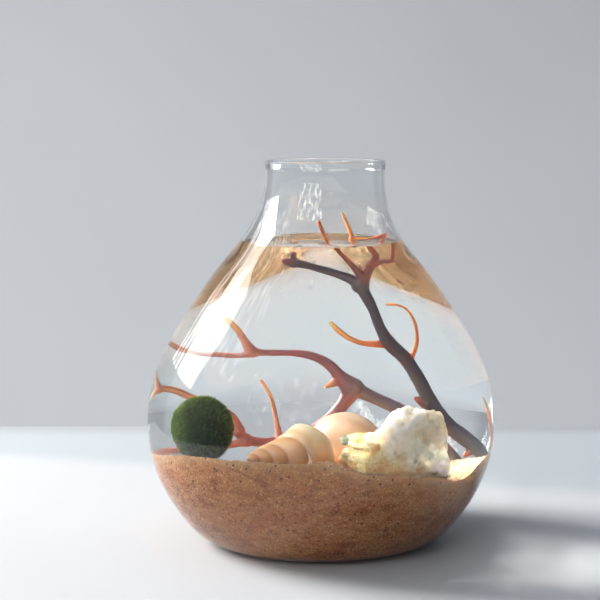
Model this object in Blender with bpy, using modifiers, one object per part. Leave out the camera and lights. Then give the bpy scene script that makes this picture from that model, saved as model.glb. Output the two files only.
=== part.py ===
"""A moss ball in a water-filled teardrop vase, with sand, three shells and sea fan branches.

Units are metres, +Z is up, and the vase stands on Z = 0 with its axis on the Z axis.
Shapes are written in millimetres and scaled by MM.
"""
import math

import bmesh
import bpy
import numpy as np
from mathutils import Euler, Vector, noise

MM = 0.001
GAP = 0.3

# Vase: outer outline as (radius, height), and its glass.
VASE_OUTLINE = [
    (34.0, 0.0), (46.4, 2.5), (56.2, 12.0), (65.8, 30.0), (68.5, 48.0), (64.3, 70.0),
    (53.2, 90.0), (39.0, 110.0), (29.6, 122.0), (26.0, 129.0), (23.7, 139.0), (23.4, 150.0),
]
VASE_HEIGHT = 150.0
WALL = 1.8
FOOT_EXTRA = 1.4
FOOT_TOP_Z = 16.0
SHOULDER_Z = 118.0
NECK_LEAN = 1.6
LIP_DROP = 0.5
TURN_STEPS = 24
RING_SPACING = 1.0

# Water and sand.
WATER_Z = 117.0
SAND_MID_Z = 32.9
SAND_SLOPE = -0.16
SAND_SIDE_RISE = 2.3
SAND_CELLS = 15
SAND_REACH = 72.0
SAND_BLANK_TOP = 54.0
WATER_BLANK_BOTTOM = 22.0
ABOVE_SAND_Z = 80.0
BELOW_SAND_Z = 2.0
# Rises and dips of the sand: (x, y, height, spread along x, spread along y).
SAND_SWELLS = [
    (-46.0, -46.0, 1.4, 18.0, 18.0),
    (34.0, -55.0, -5.8, 24.0, 26.0),
    (56.0, -30.0, -2.8, 16.0, 16.0),
    (46.0, -8.0, 1.6, 14.0, 14.0),
    (5.5, -48.0, 3.6, 6.0, 7.0),
]

# Pockets in the water: how much wider they are than a branch, or than the ball or a shell, and
# their share of its columns. A branch that starts below BURIED_Z stands in the sand.
WATER_CUT_GROWTH = 0.9
RESTING_CUT_GROWTH = 2.0
RESTING_CUT_COLUMNS = 0.75
BURIED_Z = 30.0

# Moss ball and shells: centre, half sizes, and turns in degrees.
BALL_CENTRE = (-41.3, -33.0, 50.4)
BALL_RADII = (12.6, 12.6, 11.0)
SPIRAL_TIP = (-25.8, -51.0, 43.0)
SPIRAL_TURN = (0.0, -14.0, 12.0)
SPIRAL_LENGTH = 30.5
SPIRAL_RADIUS = 7.7
SPIRAL_WHORLS = 4.4
SPIRAL_MOUTH_START = 0.74
SPIRAL_GROOVE = 0.16
SPIRAL_FLARE = 0.2
ROUND_CENTRE = (7.8, -15.0, 43.6)
ROUND_RADII = (11.0, 9.4, 8.3)
ROUND_TURN = (0.0, 8.0, 0.0)
ROUND_SPIRE = 0.04
ROUND_LIFT = 0.25
ROUGH_CENTRE = (26.0, -40.0, 45.0)
ROUGH_DEPTH = 12.0
ROUGH_LUMPS = 0.04
ROUGH_LUMPS_PER_RADIUS = 4.0
# The rough shell's outline from the front, as (degrees up from +X, distance from its centre).
ROUGH_OUTLINE = [
    (-28, 22.0), (-10, 19.0), (10, 18.2), (26, 19.4), (40, 18.6), (54, 16.0), (70, 14.0),
    (90, 11.6), (108, 10.4), (126, 9.0), (148, 9.6), (163, 14.2), (173, 18.6), (192, 19.4),
    (213, 16.8), (240, 11.6), (280, 10.2), (312, 14.0),
]

# Sea fan branches. Each path is a list of (x, y, z, radius) along a branch; the first path is
# the branch itself and the others are small twigs that grow from it. Its start is cut to fit
# the branches named under grows_from.
BRANCHES = {
    "front_fan_stem": {"grows_from": [], "paths": [
        [(56, 0, 27, 2.2), (51.7, 0, 35.6, 2.3), (45.2, 0, 40.5, 2.4), (37.3, 0, 46.5, 2.3),
         (32.5, 0, 53.5, 2.2), (29.4, 0, 59.5, 2.2), (25.5, 0, 66.0, 2.3), (20.8, 0, 71.5, 2.2),
         (18.0, 0, 77.5, 1.8), (15.8, 0, 85.0, 1.7), (12.6, 0, 93.0, 2.1), (11.6, 0, 95.6, 2.2)],
        [(32.0, 0, 52.0, 1.6), (30.2, -0.4, 52.6, 1.1), (28.6, -0.8, 53.6, 0.6)],
        [(47.0, 0, 39.0, 1.6), (44.6, -0.6, 37.6, 1.0), (43.4, -0.8, 36.8, 0.6)],
    ]},
    "front_fan_left_twig": {"grows_from": ["front_fan_stem"], "paths": [
        [(20.8, 0, 71.3, 1.3), (16.5, -0.6, 71.4, 1.2), (12.5, -1.4, 72.0, 1.0),
         (8.8, -2.2, 74.0, 1.0), (5.6, -2.8, 77.0, 1.0), (3.0, -3.2, 80.6, 0.8)],
    ]},
    "front_fan_right_twig": {"grows_from": ["front_fan_stem"], "paths": [
        [(26.4, 0, 64.8, 1.1), (28.0, 0.5, 67.5, 0.9), (29.2, 1.0, 71.2, 0.7),
         (29.2, 1.4, 76.0, 0.6), (28.0, 1.8, 81.0, 0.55), (25.6, 2.0, 85.0, 0.5),
         (22.8, 2.0, 86.4, 0.5), (19.8, 2.0, 86.6, 0.5)],
    ]},
    "front_fan_left_arm": {"grows_from": ["front_fan_stem"], "paths": [
        [(12.2, 0, 94.6, 1.7), (8.8, 0.4, 97.0, 1.6), (4.0, 0.6, 99.2, 1.5),
         (-0.5, 0.4, 101.0, 1.5), (-5.0, 0, 102.8, 1.6), (-9.2, -0.4, 104.0, 1.9)],
        [(-8.6, -0.4, 103.8, 1.4), (-10.6, -1.2, 104.6, 0.9), (-11.6, -1.6, 105.0, 0.6)],
        [(-8.2, -0.4, 103.6, 1.4), (-8.6, 0.4, 106.6, 1.0), (-8.2, 0.8, 109.0, 0.8)],
    ]},
    "front_fan_crown": {"grows_from": ["front_fan_stem", "front_fan_left_arm"], "paths": [
        [(12.0, 0, 94.4, 1.9), (13.4, 0.2, 98.6, 1.8), (15.4, 0.6, 102.4, 1.4),
         (16.6, 1.0, 106.4, 1.2), (14.8, 1.4, 110.6, 1.0), (13.0, 1.8, 115.4, 0.9),
         (12.2, 1.9, 119.0, 0.9), (11.2, 1.9, 122.4, 0.8), (8.4, 1.9, 128.8, 0.6)],
        [(15.4, 0.6, 102.6, 1.2), (18.8, 0.6, 104.2, 1.0), (21.8, 0.4, 104.8, 0.9),
         (22.6, 0.2, 108.6, 0.7), (22.8, 0, 113.0, 0.7), (23.6, 0, 117.6, 0.7),
         (25.4, 0, 121.0, 0.6)],
        [(12.0, 1.9, 118.6, 0.8), (16.0, 1.4, 118.9, 0.5), (20.6, 0.6, 119.2, 0.5),
         (24.4, 0.2, 120.4, 0.8)],
    ]},
    "front_fan_top_twig": {"grows_from": ["front_fan_crown", "front_fan_left_arm"], "paths": [
        [(13.0, 0, 97.6, 1.5), (10.6, -1.6, 101.4, 1.1), (8.2, -3.0, 105.4, 0.9),
         (4.6, -3.4, 111.6, 0.8), (2.6, -3.2, 117.2, 0.75), (0.8, -3.2, 121.8, 0.75),
         (-0.8, -3.2, 125.7, 0.75)],
    ]},
    "rear_fan_stem": {"grows_from": [], "paths": [
        [(42, 19, 25, 1.9), (34, 19, 35.5, 1.9), (28.5, 19.5, 41.5, 1.8), (22.5, 20, 45.7, 1.8),
         (16.5, 20, 48.6, 1.7), (11.5, 20, 50.8, 1.9), (7.0, 20, 53.0, 2.1)],
    ]},
    "rear_fan_upper_arm": {"grows_from": ["rear_fan_stem"], "paths": [
        [(8.0, 20, 52.4, 1.9), (5.4, 20.2, 55.0, 1.7), (2.8, 20.6, 58.2, 1.6),
         (-1.2, 21, 61.0, 1.4), (-6.0, 21, 62.4, 1.2), (-11.5, 20.6, 62.7, 1.1),
         (-16.6, 20.2, 62.8, 1.2), (-20.4, 20, 63.4, 1.5)],
        [(5.4, 20.2, 54.6, 1.3), (3.4, 19.4, 53.4, 1.0), (1.4, 18.8, 52.6, 0.6)],
    ]},
    "rear_fan_tip_twig": {"grows_from": ["rear_fan_upper_arm"], "paths": [
        [(-19.6, 20, 63.2, 1.4), (-21.5, 20, 67.2, 1.2), (-23.4, 19.8, 71.6, 1.1),
         (-26.2, 19.4, 75.6, 1.1)],
    ]},
    "rear_fan_side_arm": {"grows_from": ["rear_fan_upper_arm", "rear_fan_tip_twig"], "paths": [
        [(-19.0, 20, 62.6, 1.1), (-23.0, 20.2, 61.6, 0.9), (-28.4, 20.6, 61.6, 0.8),
         (-34.6, 21, 61.8, 0.8), (-39.0, 21, 63.0, 0.9), (-43.0, 21, 65.2, 0.9)],
    ]},
    "rear_fan_lower_arm": {"grows_from": ["rear_fan_stem", "rear_fan_upper_arm"], "paths": [
        [(9.4, 20, 51.8, 1.8), (6.8, 20, 48.4, 1.8), (4.2, 20, 45.2, 1.9),
         (-0.6, 20, 41.4, 1.7), (-6.0, 20, 38.8, 1.5), (-11.6, 20, 37.7, 1.4),
         (-17.0, 20, 37.3, 1.6), (-21.4, 20, 38.6, 1.9), (-23.4, 20, 42.0, 1.7)],
    ]},
    "rear_fan_thin_twig": {"grows_from": ["rear_fan_lower_arm"], "paths": [
        [(-11.4, 20, 37.8, 1.0), (-12.5, 20.4, 43.2, 0.7), (-13.9, 20.8, 49.0, 0.6),
         (-16.8, 21, 53.8, 0.5)],
    ]},
    "rear_fan_left_arm": {"grows_from": ["rear_fan_lower_arm"], "paths": [
        [(-22.8, 20, 41.0, 1.6), (-24.6, 20, 45.4, 1.5), (-29.6, 20.2, 49.8, 1.2),
         (-36.0, 20.4, 51.7, 1.0), (-41.4, 20.2, 51.8, 0.9), (-44.8, 20, 51.6, 0.8),
         (-47.6, 19.6, 49.0, 0.6)],
        [(-44.4, 20, 51.6, 0.8), (-45.6, 20, 54.0, 0.7), (-46.4, 20, 56.2, 0.6)],
    ]},
    "rear_fan_low_twig": {"grows_from": ["rear_fan_lower_arm"], "paths": [
        [(-20.6, 20, 37.8, 1.2), (-26.0, 20, 36.4, 0.9), (-32.0, 20, 35.9, 0.9),
         (-39.0, 20, 35.6, 0.9), (-45.0, 20, 35.2, 0.8)],
    ]},
    "edge_twig": {"grows_from": [], "paths": [
        [(47.4, 20, 26, 0.8), (46.8, 20, 34.5, 0.8), (47.0, 20, 39.0, 0.7),
         (46.4, 20, 43.6, 0.7), (45.4, 20, 48.2, 0.4)],
    ]},
}


def clear_scene():
    for item in list(bpy.data.objects):
        bpy.data.objects.remove(item, do_unlink=True)


def make_collection(name):
    group = bpy.data.collections.new(name)
    bpy.context.scene.collection.children.link(group)
    return group


def make_material(name, color, roughness, transmission=0.0, ior=1.45):
    material = bpy.data.materials.new(name)
    material.use_nodes = True
    shader = material.node_tree.nodes["Principled BSDF"]
    shader.inputs["Base Color"].default_value = (*color, 1.0)
    shader.inputs["Roughness"].default_value = roughness
    shader.inputs["Metallic"].default_value = 0.0
    shader.inputs["Transmission Weight"].default_value = transmission
    shader.inputs["IOR"].default_value = ior
    material.diffuse_color = (*color, 1.0)
    return material


def add_object(name, mesh, group, material=None):
    item = bpy.data.objects.new(name, mesh)
    group.objects.link(item)
    if material:
        mesh.materials.clear()
        mesh.materials.append(material)
    mesh.shade_smooth()
    mesh.set_sharp_from_angle(angle=math.radians(40))
    return item


def mark_as_cutter(item):
    item.hide_render = True
    item.display_type = "WIRE"


def mesh_from_bmesh(name, shape):
    mesh = bpy.data.meshes.new(name)
    shape.to_mesh(mesh)
    shape.free()
    return mesh


def baked_mesh(item):
    """The evaluated mesh of a curve or a modified object, welded; the object is removed."""
    graph = bpy.context.evaluated_depsgraph_get()
    mesh = bpy.data.meshes.new_from_object(item.evaluated_get(graph))
    mesh.transform(item.matrix_world)
    shape = bmesh.new()
    shape.from_mesh(mesh)
    bmesh.ops.remove_doubles(shape, verts=shape.verts, dist=0.001 * MM)
    shape.to_mesh(mesh)
    shape.free()
    bpy.data.objects.remove(item, do_unlink=True)
    return mesh


def add_boolean(item, other, operation):
    modifier = item.modifiers.new(f"{operation.lower()} {other.name}", "BOOLEAN")
    modifier.operation = operation
    modifier.object = other
    modifier.solver = "EXACT"


def smooth_path(points, steps):
    """A smooth curve through the points, with steps pieces in each span.

    Each span is a cubic. Its slope at a point is the mean of the slopes of the two spans that
    meet there, each weighted by the other span's length.
    """
    points = np.array(points, dtype=float)
    spans = np.diff(points, axis=0)
    lengths = np.linalg.norm(spans[:, :3], axis=1)[:, None]
    slopes = spans / lengths
    weighted = slopes[:-1] * lengths[1:] + slopes[1:] * lengths[:-1]
    middle = weighted / (lengths[:-1] + lengths[1:])
    slopes = np.vstack([slopes[:1], middle, slopes[-1:]])
    t = np.arange(steps)[:, None] / steps
    path = []
    for i, length in enumerate(lengths):
        path.append((2 * t ** 3 - 3 * t ** 2 + 1) * points[i]
                    + (t ** 3 - 2 * t ** 2 + t) * length * slopes[i]
                    + (3 * t ** 2 - 2 * t ** 3) * points[i + 1]
                    + (t ** 3 - t ** 2) * length * slopes[i + 1])
    return np.vstack(path + [points[-1:]])


def outer_outline(steps):
    """The vase's outer outline, bottom to top, as rows of radius and height."""
    return smooth_path(VASE_OUTLINE, steps)


def inner_outline(inset, steps):
    """The outer outline moved square to itself by the wall and the inset; the foot is thicker."""
    outline = outer_outline(steps)
    along = np.gradient(outline, axis=0)
    inward = np.column_stack([-along[:, 1], along[:, 0]])
    inward /= np.linalg.norm(inward, axis=1)[:, None]
    foot = np.clip(1.0 - outline[:, 1] / FOOT_TOP_Z, 0.0, 1.0) ** 2
    inward[0] = (0.0, 1.0)
    return outline + inward * (WALL + inset + FOOT_EXTRA * foot)[:, None]


def outline_between(outline, low, high):
    """The part of an outline between two heights, top to bottom, as (radius, height)."""
    def at(height):
        return (float(np.interp(height, outline[:, 1], outline[:, 0])), height)
    middle = [(r, z) for r, z in outline if low + RING_SPACING < z < high - RING_SPACING]
    return [at(high)] + middle[::-1] + [at(low)]


def turned(name, profile, group):
    """A solid turned about Z from a profile of (radius, height) that runs top to bottom."""
    mesh = bpy.data.meshes.new(name)
    points = [(radius * MM, 0.0, height * MM) for radius, height in profile]
    mesh.from_pydata(points, [(i, i + 1) for i in range(len(points) - 1)], [])
    item = bpy.data.objects.new(name, mesh)
    group.objects.link(item)
    screw = item.modifiers.new("turn", "SCREW")
    screw.axis = "Z"
    screw.steps = TURN_STEPS
    screw.render_steps = TURN_STEPS
    screw.use_merge_vertices = True
    screw.merge_threshold = 0.00001
    return item


def lean_neck(mesh):
    """Moves the neck sideways, by more the higher it is."""
    for vertex in mesh.vertices:
        rise = (vertex.co.z / MM - SHOULDER_Z) / (VASE_HEIGHT - SHOULDER_Z)
        vertex.co.x += NECK_LEAN * MM * max(rise, 0.0)


def make_vase(group, material):
    outside = outline_between(outer_outline(2), 0.0, VASE_HEIGHT - LIP_DROP)
    inside = inner_outline(0.0, 1)
    floor_z = inside[0, 1]
    inside = outline_between(inside, floor_z, VASE_HEIGHT - LIP_DROP)[::-1]
    lip = [(VASE_OUTLINE[-1][0] - 0.5 * WALL, VASE_HEIGHT)]
    profile = lip + outside + [(0.0, 0.0), (0.0, floor_z)] + inside + lip
    mesh = baked_mesh(turned("glass_vase", profile, group))
    lean_neck(mesh)
    return add_object("glass_vase", mesh, group, material)


def sand_height(x, y):
    height = SAND_MID_Z + SAND_SLOPE * y + SAND_SIDE_RISE * (x / SAND_REACH) ** 2
    for centre_x, centre_y, rise, spread_x, spread_y in SAND_SWELLS:
        reach = ((x - centre_x) / spread_x) ** 2 + ((y - centre_y) / spread_y) ** 2
        height += rise * math.exp(-reach)
    return height


def sand_block(name, lift, far_z, group):
    """A block between the sand's top surface, lifted by lift, and the height far_z."""
    shape = bmesh.new()
    bmesh.ops.create_grid(shape, x_segments=SAND_CELLS, y_segments=SAND_CELLS, size=SAND_REACH)
    for vertex in shape.verts:
        vertex.co.z = sand_height(vertex.co.x, vertex.co.y) + lift
    bmesh.ops.triangulate(shape, faces=shape.faces[:], quad_method="FIXED")
    sheet = bmesh.ops.extrude_face_region(shape, geom=shape.faces[:])
    for part in sheet["geom"]:
        if isinstance(part, bmesh.types.BMVert):
            part.co.z = far_z
    bmesh.ops.recalc_face_normals(shape, faces=shape.faces[:])
    bmesh.ops.scale(shape, vec=(MM, MM, MM), verts=shape.verts[:])
    item = add_object(name, mesh_from_bmesh(name, shape), group)
    mark_as_cutter(item)
    return item


def make_filling(name, low, high, group, material):
    """A solid that fills the vase between two heights, less the gap to the glass."""
    profile = outline_between(inner_outline(GAP, 1), low, high)
    profile = [(0.0, high)] + profile + [(0.0, low)]
    return add_object(name, baked_mesh(turned(name, profile, group)), group, material)


def make_sand(group, cutters, material):
    floor_z = inner_outline(GAP, 1)[0, 1]
    sand = make_filling("sand_bed", floor_z, SAND_BLANK_TOP, group, material)
    add_boolean(sand, sand_block("above_sand", 0.0, ABOVE_SAND_Z, cutters), "DIFFERENCE")
    return sand


def make_water(group, cutters, material):
    water = make_filling("water", WATER_BLANK_BOTTOM, WATER_Z, group, material)
    add_boolean(water, sand_block("below_water", GAP, BELOW_SAND_Z, cutters), "DIFFERENCE")
    return water


def round_mesh(name, shape_of, columns, rows):
    """A closed mesh whose point in each direction is shape_of(direction), in millimetres."""
    shape = bmesh.new()
    bmesh.ops.create_uvsphere(shape, u_segments=columns, v_segments=rows, radius=1.0)
    for vertex in shape.verts:
        vertex.co = shape_of(vertex.co.normalized()) * MM
    return mesh_from_bmesh(name, shape)


def place(item, centre, turn=(0.0, 0.0, 0.0)):
    item.location = Vector(centre) * MM
    item.rotation_euler = Euler([math.radians(angle) for angle in turn])


def ball_shape(grow):
    radii = Vector(BALL_RADII) + Vector((grow, grow, grow))
    return lambda direction: direction * radii


def round_shell_shape(grow):
    """A low dome, a little longer towards its back right and lifted at its lower left."""
    def shape(direction):
        turn = math.atan2(direction.y, direction.x)
        spire = 1.0 + ROUND_SPIRE * math.cos(turn - 0.6)
        lifted = max(-direction.x, 0.0) * max(-direction.z, 0.0)
        radii = [radius * (spire - ROUND_LIFT * lifted) + grow for radius in ROUND_RADII]
        return Vector([part * radius for part, radius in zip(direction, radii)])
    return shape


def rough_shell_shape(grow):
    """A knobbly lump, flattened front to back, with the rough shell's outline."""
    angles = [angle for angle, _ in ROUGH_OUTLINE]
    distances = [distance for _, distance in ROUGH_OUTLINE]

    def shape(direction):
        angle = math.degrees(math.atan2(direction.z, direction.x))
        reach = float(np.interp(angle, angles, distances, period=360.0))
        reach *= 1.0 + ROUGH_LUMPS * noise.noise(direction * ROUGH_LUMPS_PER_RADIUS)
        return Vector((direction.x * (reach + grow), direction.y * (ROUGH_DEPTH + grow),
                       direction.z * (reach + grow)))
    return shape


def spiral_radius(along, turn):
    """The spiral shell's radius at a share of its length and a turn about its axis."""
    taper = min(1.0, 1.25 * along ** 0.8)
    past_mouth = max(0.0, along - SPIRAL_MOUTH_START) / (1.0 - SPIRAL_MOUTH_START)
    closing = math.sqrt(max(1.0 - past_mouth ** 2.6, 0.0))
    whorls = SPIRAL_WHORLS * along ** 1.25
    bulge = abs(math.sin(math.pi * (whorls - turn / math.tau)))
    groove = 1.0 - SPIRAL_GROOVE * (1.0 - bulge)
    flare = 1.0 - SPIRAL_FLARE * max(0.0, along - 0.4) * math.sin(turn)
    return SPIRAL_RADIUS * taper * closing * groove * flare


def spiral_shell_mesh(name, grow, columns):
    """A spired shell along +X from its tip: a tapering body with a helical groove."""
    shape = bmesh.new()
    rings = columns + 2
    rows = []
    for i in range(1, rings):
        along = i / rings
        row = []
        for j in range(columns):
            turn = math.tau * j / columns
            radius = spiral_radius(along, turn) + grow
            reach = along * SPIRAL_LENGTH * (1.0 - 0.05 * along ** 3 * math.sin(turn))
            row.append(shape.verts.new((reach, radius * math.cos(turn),
                                        radius * math.sin(turn))))
        rows.append(row)
    tip = shape.verts.new((-grow, 0.0, 0.0))
    end = shape.verts.new((SPIRAL_LENGTH + grow, 0.0, 0.0))
    for j in range(columns):
        k = (j + 1) % columns
        shape.faces.new((tip, rows[0][k], rows[0][j]))
        shape.faces.new((end, rows[-1][j], rows[-1][k]))
        for near, far in zip(rows, rows[1:]):
            shape.faces.new((near[j], near[k], far[k], far[j]))
    bmesh.ops.recalc_face_normals(shape, faces=shape.faces[:])
    bmesh.ops.scale(shape, vec=(MM, MM, MM), verts=shape.verts[:])
    return mesh_from_bmesh(name, shape)


def ball_mesh(name, grow, columns):
    return round_mesh(name, ball_shape(grow), columns, columns // 2 + 1)


def round_shell_mesh(name, grow, columns):
    return round_mesh(name, round_shell_shape(grow), columns, columns // 2 + 1)


def rough_shell_mesh(name, grow, columns):
    return round_mesh(name, rough_shell_shape(grow), columns, columns // 2 + 2)


# The pieces that rest on the sand: centre or tip, turn, mesh function, columns.
RESTING = {
    "marimo_ball": (BALL_CENTRE, (0.0, 0.0, 0.0), ball_mesh, 16),
    "round_shell": (ROUND_CENTRE, ROUND_TURN, round_shell_mesh, 16),
    "rough_shell": (ROUGH_CENTRE, (0.0, 0.0, 0.0), rough_shell_mesh, 24),
    "spiral_shell": (SPIRAL_TIP, SPIRAL_TURN, spiral_shell_mesh, 16),
}


def make_resting_piece(name, group, cutters, sand, water, materials):
    """The ball or a shell, pressed a little into the sand and set in the water."""
    centre, turn, build, columns = RESTING[name]
    place(add_object(name, build(name, 0.0, columns), group, materials[name]), centre, turn)
    cuts = ((sand, "sand", GAP, columns),
            (water, "water", RESTING_CUT_GROWTH, int(RESTING_CUT_COLUMNS * columns)))
    for solid, label, grow, cut_columns in cuts:
        cutter = add_object(f"{label}_cut_{name}", build(name, grow, cut_columns), cutters)
        place(cutter, centre, turn)
        mark_as_cutter(cutter)
        add_boolean(solid, cutter, "DIFFERENCE")


def tube_mesh(name, path, grow, bevel_resolution, group):
    """A tube with closed ends along a path of (x, y, z, radius).

    A bevel_resolution of 0 gives it four sides, 1 six and 2 eight.
    """
    curve = bpy.data.curves.new(name, "CURVE")
    curve.dimensions = "3D"
    curve.bevel_depth = MM
    curve.bevel_resolution = bevel_resolution
    curve.use_fill_caps = True
    spline = curve.splines.new("POLY")
    spline.points.add(len(path) - 1)
    for point, (x, y, z, radius) in zip(spline.points, path):
        point.co = (x * MM, y * MM, z * MM, 1.0)
        point.radius = radius + grow
    item = bpy.data.objects.new(name, curve)
    group.objects.link(item)
    bpy.context.view_layer.update()
    return baked_mesh(item)


def longer_path(path, extra):
    """The path with both ends moved out along their own direction."""
    points = np.array(path, dtype=float)
    for end, inner in ((0, 1), (-1, -2)):
        away = points[end, :3] - points[inner, :3]
        points[end, :3] += away * extra / np.linalg.norm(away)
    return points


def make_branch(name, group, cutters, materials):
    """One branch with its small twigs, cut to fit the branches that it grows from."""
    paths = [smooth_path(path, 2) for path in BRANCHES[name]["paths"]]
    mesh = tube_mesh(name, paths[0], 0.0, 1, group)
    branch = add_object(name, mesh, group, materials["front" if "front" in name else "rear"])
    for number, path in enumerate(paths[1:]):
        twig = add_object(f"{name}_twig_{number}", tube_mesh(name, path, 0.0, 1, cutters), cutters)
        mark_as_cutter(twig)
        add_boolean(branch, twig, "UNION")
    for other in BRANCHES[name]["grows_from"]:
        around = smooth_path(BRANCHES[other]["paths"][0], 2)
        label = f"{name}_seat_{other}"
        cutter = add_object(label, tube_mesh(label, around, GAP, 2, cutters), cutters)
        mark_as_cutter(cutter)
        add_boolean(branch, cutter, "DIFFERENCE")
    return branch


def cut_for_branch(name, cutters, sand, water):
    """Leaves room for a branch in the water, and in the sand where it stands in it."""
    for number, path in enumerate(BRANCHES[name]["paths"]):
        around = longer_path(path, 2 * GAP) * (1.0, 1.0, 1.0, math.sqrt(2.0))
        label = f"water_cut_{name}_{number}"
        mesh = tube_mesh(label, around, WATER_CUT_GROWTH, 0, cutters)
        cutter = add_object(label, mesh, cutters)
        mark_as_cutter(cutter)
        add_boolean(water, cutter, "DIFFERENCE")
        if path[0][2] < BURIED_Z:
            label = f"sand_cut_{name}"
            around = longer_path(smooth_path(path, 2), GAP)
            cutter = add_object(label, tube_mesh(label, around, GAP, 2, cutters), cutters)
            mark_as_cutter(cutter)
            add_boolean(sand, cutter, "DIFFERENCE")


def main():
    clear_scene()
    group = make_collection("moss ball vase")
    cutters = make_collection("cutters")
    materials = {
        "glass": make_material("clear glass", (0.95, 0.97, 0.97), 0.02, 1.0, 1.5),
        "water": make_material("water", (0.9, 0.95, 0.96), 0.0, 1.0, 1.333),
        "sand": make_material("tan sand", (0.55, 0.34, 0.22), 0.9),
        "marimo_ball": make_material("green algae", (0.05, 0.12, 0.02), 0.95),
        "spiral_shell": make_material("cream shell", (0.85, 0.62, 0.42), 0.4),
        "round_shell": make_material("peach shell", (0.9, 0.68, 0.52), 0.35),
        "rough_shell": make_material("crusted shell", (0.85, 0.8, 0.58), 0.7),
        "front": make_material("dark sea fan", (0.06, 0.04, 0.045), 0.45),
        "rear": make_material("red sea fan", (0.35, 0.09, 0.05), 0.45),
    }
    make_vase(group, materials["glass"])
    sand = make_sand(group, cutters, materials["sand"])
    water = make_water(group, cutters, materials["water"])
    for name in RESTING:
        make_resting_piece(name, group, cutters, sand, water, materials)
    for name in BRANCHES:
        make_branch(name, group, cutters, materials)
        cut_for_branch(name, cutters, sand, water)


main()
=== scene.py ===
import math
from functools import partial

import bmesh
import bpy
import numpy as np
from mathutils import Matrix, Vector


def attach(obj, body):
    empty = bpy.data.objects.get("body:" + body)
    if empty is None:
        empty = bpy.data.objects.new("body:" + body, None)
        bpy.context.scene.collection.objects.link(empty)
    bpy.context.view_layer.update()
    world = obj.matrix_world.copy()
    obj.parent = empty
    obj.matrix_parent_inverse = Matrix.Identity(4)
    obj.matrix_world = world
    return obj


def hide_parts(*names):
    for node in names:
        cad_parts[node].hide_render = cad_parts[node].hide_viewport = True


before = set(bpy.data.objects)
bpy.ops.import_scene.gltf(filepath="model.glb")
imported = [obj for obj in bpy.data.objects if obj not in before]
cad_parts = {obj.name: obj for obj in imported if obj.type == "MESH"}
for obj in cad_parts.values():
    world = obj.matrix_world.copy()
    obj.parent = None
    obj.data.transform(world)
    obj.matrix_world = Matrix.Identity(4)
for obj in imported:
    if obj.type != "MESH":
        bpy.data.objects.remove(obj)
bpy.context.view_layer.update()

# Looks of a moss ball in a water-filled teardrop vase. Shapes are in millimetres, z is up, and the
# vase stands on z = 0 round the z axis. Metres come in only where a mesh is made.
mm = 0.001
scene = bpy.context.scene


# sRGB hex to linear: below 0.04045 a plain share, above it a power of 2.4
def hexColor(code):
    srgb = np.array([int(code[i:i + 2], 16) for i in (1, 3, 5)]) / 255
    linear = np.where(srgb <= 0.04045, srgb / 12.92, ((srgb + 0.055) / 1.055) ** 2.4)
    return (*linear.tolist(), 1.0)


# a curve through points: each span is a cubic whose end slopes are the means of the slopes of the
# two spans that meet there, each weighted by the other one's length
def smoothCurve(points, steps):
    points = np.array(points, float)
    spans = np.diff(points, axis=0)
    lengths = np.linalg.norm(spans[:, :3], axis=1)[:, None]
    slopes = spans / lengths
    joints = slopes[:-1] * lengths[1:] + slopes[1:] * lengths[:-1]
    slopes = np.vstack([slopes[:1], joints / (lengths[:-1] + lengths[1:]), slopes[-1:]])
    t = (np.arange(steps) / steps)[:, None, None]
    curve = ((2 * t ** 3 - 3 * t ** 2 + 1) * points[:-1]
             + (t ** 3 - 2 * t ** 2 + t) * lengths * slopes[:-1]
             + (3 * t ** 2 - 2 * t ** 3) * points[1:]
             + (t ** 3 - t ** 2) * lengths * slopes[1:])
    return np.vstack([curve.transpose(1, 0, 2).reshape(-1, points.shape[1]), points[-1:]])


# smooth random heights from -1 to 1: random numbers on a lattice of 32 cells that repeats, faded
# from corner to corner; size is the lattice spacing in mm
def softNoise(points, size, seed):
    lattice = np.random.default_rng(seed).uniform(-1, 1, (32, 32, 32))
    cell = points / size + 500.0
    low = np.floor(cell).astype(int)
    part = cell - low
    fade = part * part * (3 - 2 * part)
    total = np.zeros(points.shape[:-1])
    for corner in np.ndindex(2, 2, 2):
        weight = np.where(corner, fade, 1 - fade).prod(axis=-1)
        i, j, k = np.moveaxis((low + corner) % 32, -1, 0)
        total += weight * lattice[i, j, k]
    return total


# a sum of smooth noises, each given as (amount, size in mm, seed)
def noiseSum(points, layers):
    return sum(amount * softNoise(points, size, seed) for amount, size, seed in layers)


# 0 below low, 1 above high, and 3 t squared less 2 t cubed in between
def smoothStep(value, low, high):
    t = np.clip((value - low) / (high - low), 0, 1)
    return t * t * (3 - 2 * t)


# vectors brought to length 1
def unit(vectors):
    return vectors / np.linalg.norm(vectors, axis=-1, keepdims=True)


# angles evenly spaced round a full turn
def anglesRound(count):
    return np.arange(count) / count * math.tau


# points round the z axis: x and y are the radius times cos and sin of the angle
def roundPoints(radius, around, height):
    parts = (radius * np.cos(around), radius * np.sin(around), height)
    return np.stack(np.broadcast_arrays(*parts), axis=-1)


# a turn that carries one axis towards another, as a matrix of cos and sin
def axisTurn(first, second, degrees):
    turn = np.eye(3)
    turn[first, first] = turn[second, second] = math.cos(math.radians(degrees))
    turn[second, first] = math.sin(math.radians(degrees))
    turn[first, second] = -turn[second, first]
    return turn


# four-sided faces of a grid of points whose columns close round on themselves
def gridFaces(rows, columns):
    index = np.arange(rows * columns).reshape(rows, columns)
    beside = np.roll(index, -1, axis=1)
    quads = [index[:-1], beside[:-1], beside[1:], index[1:]]
    return np.stack(quads, axis=-1).reshape(-1, 4)


# directions over a sphere, pole to pole: rows of cos and sin of the angle from the pole
def sphereGrid(rows, columns):
    down = np.linspace(0, math.pi, rows)[:, None]
    return roundPoints(np.sin(down), anglesRound(columns), np.cos(down))


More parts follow.
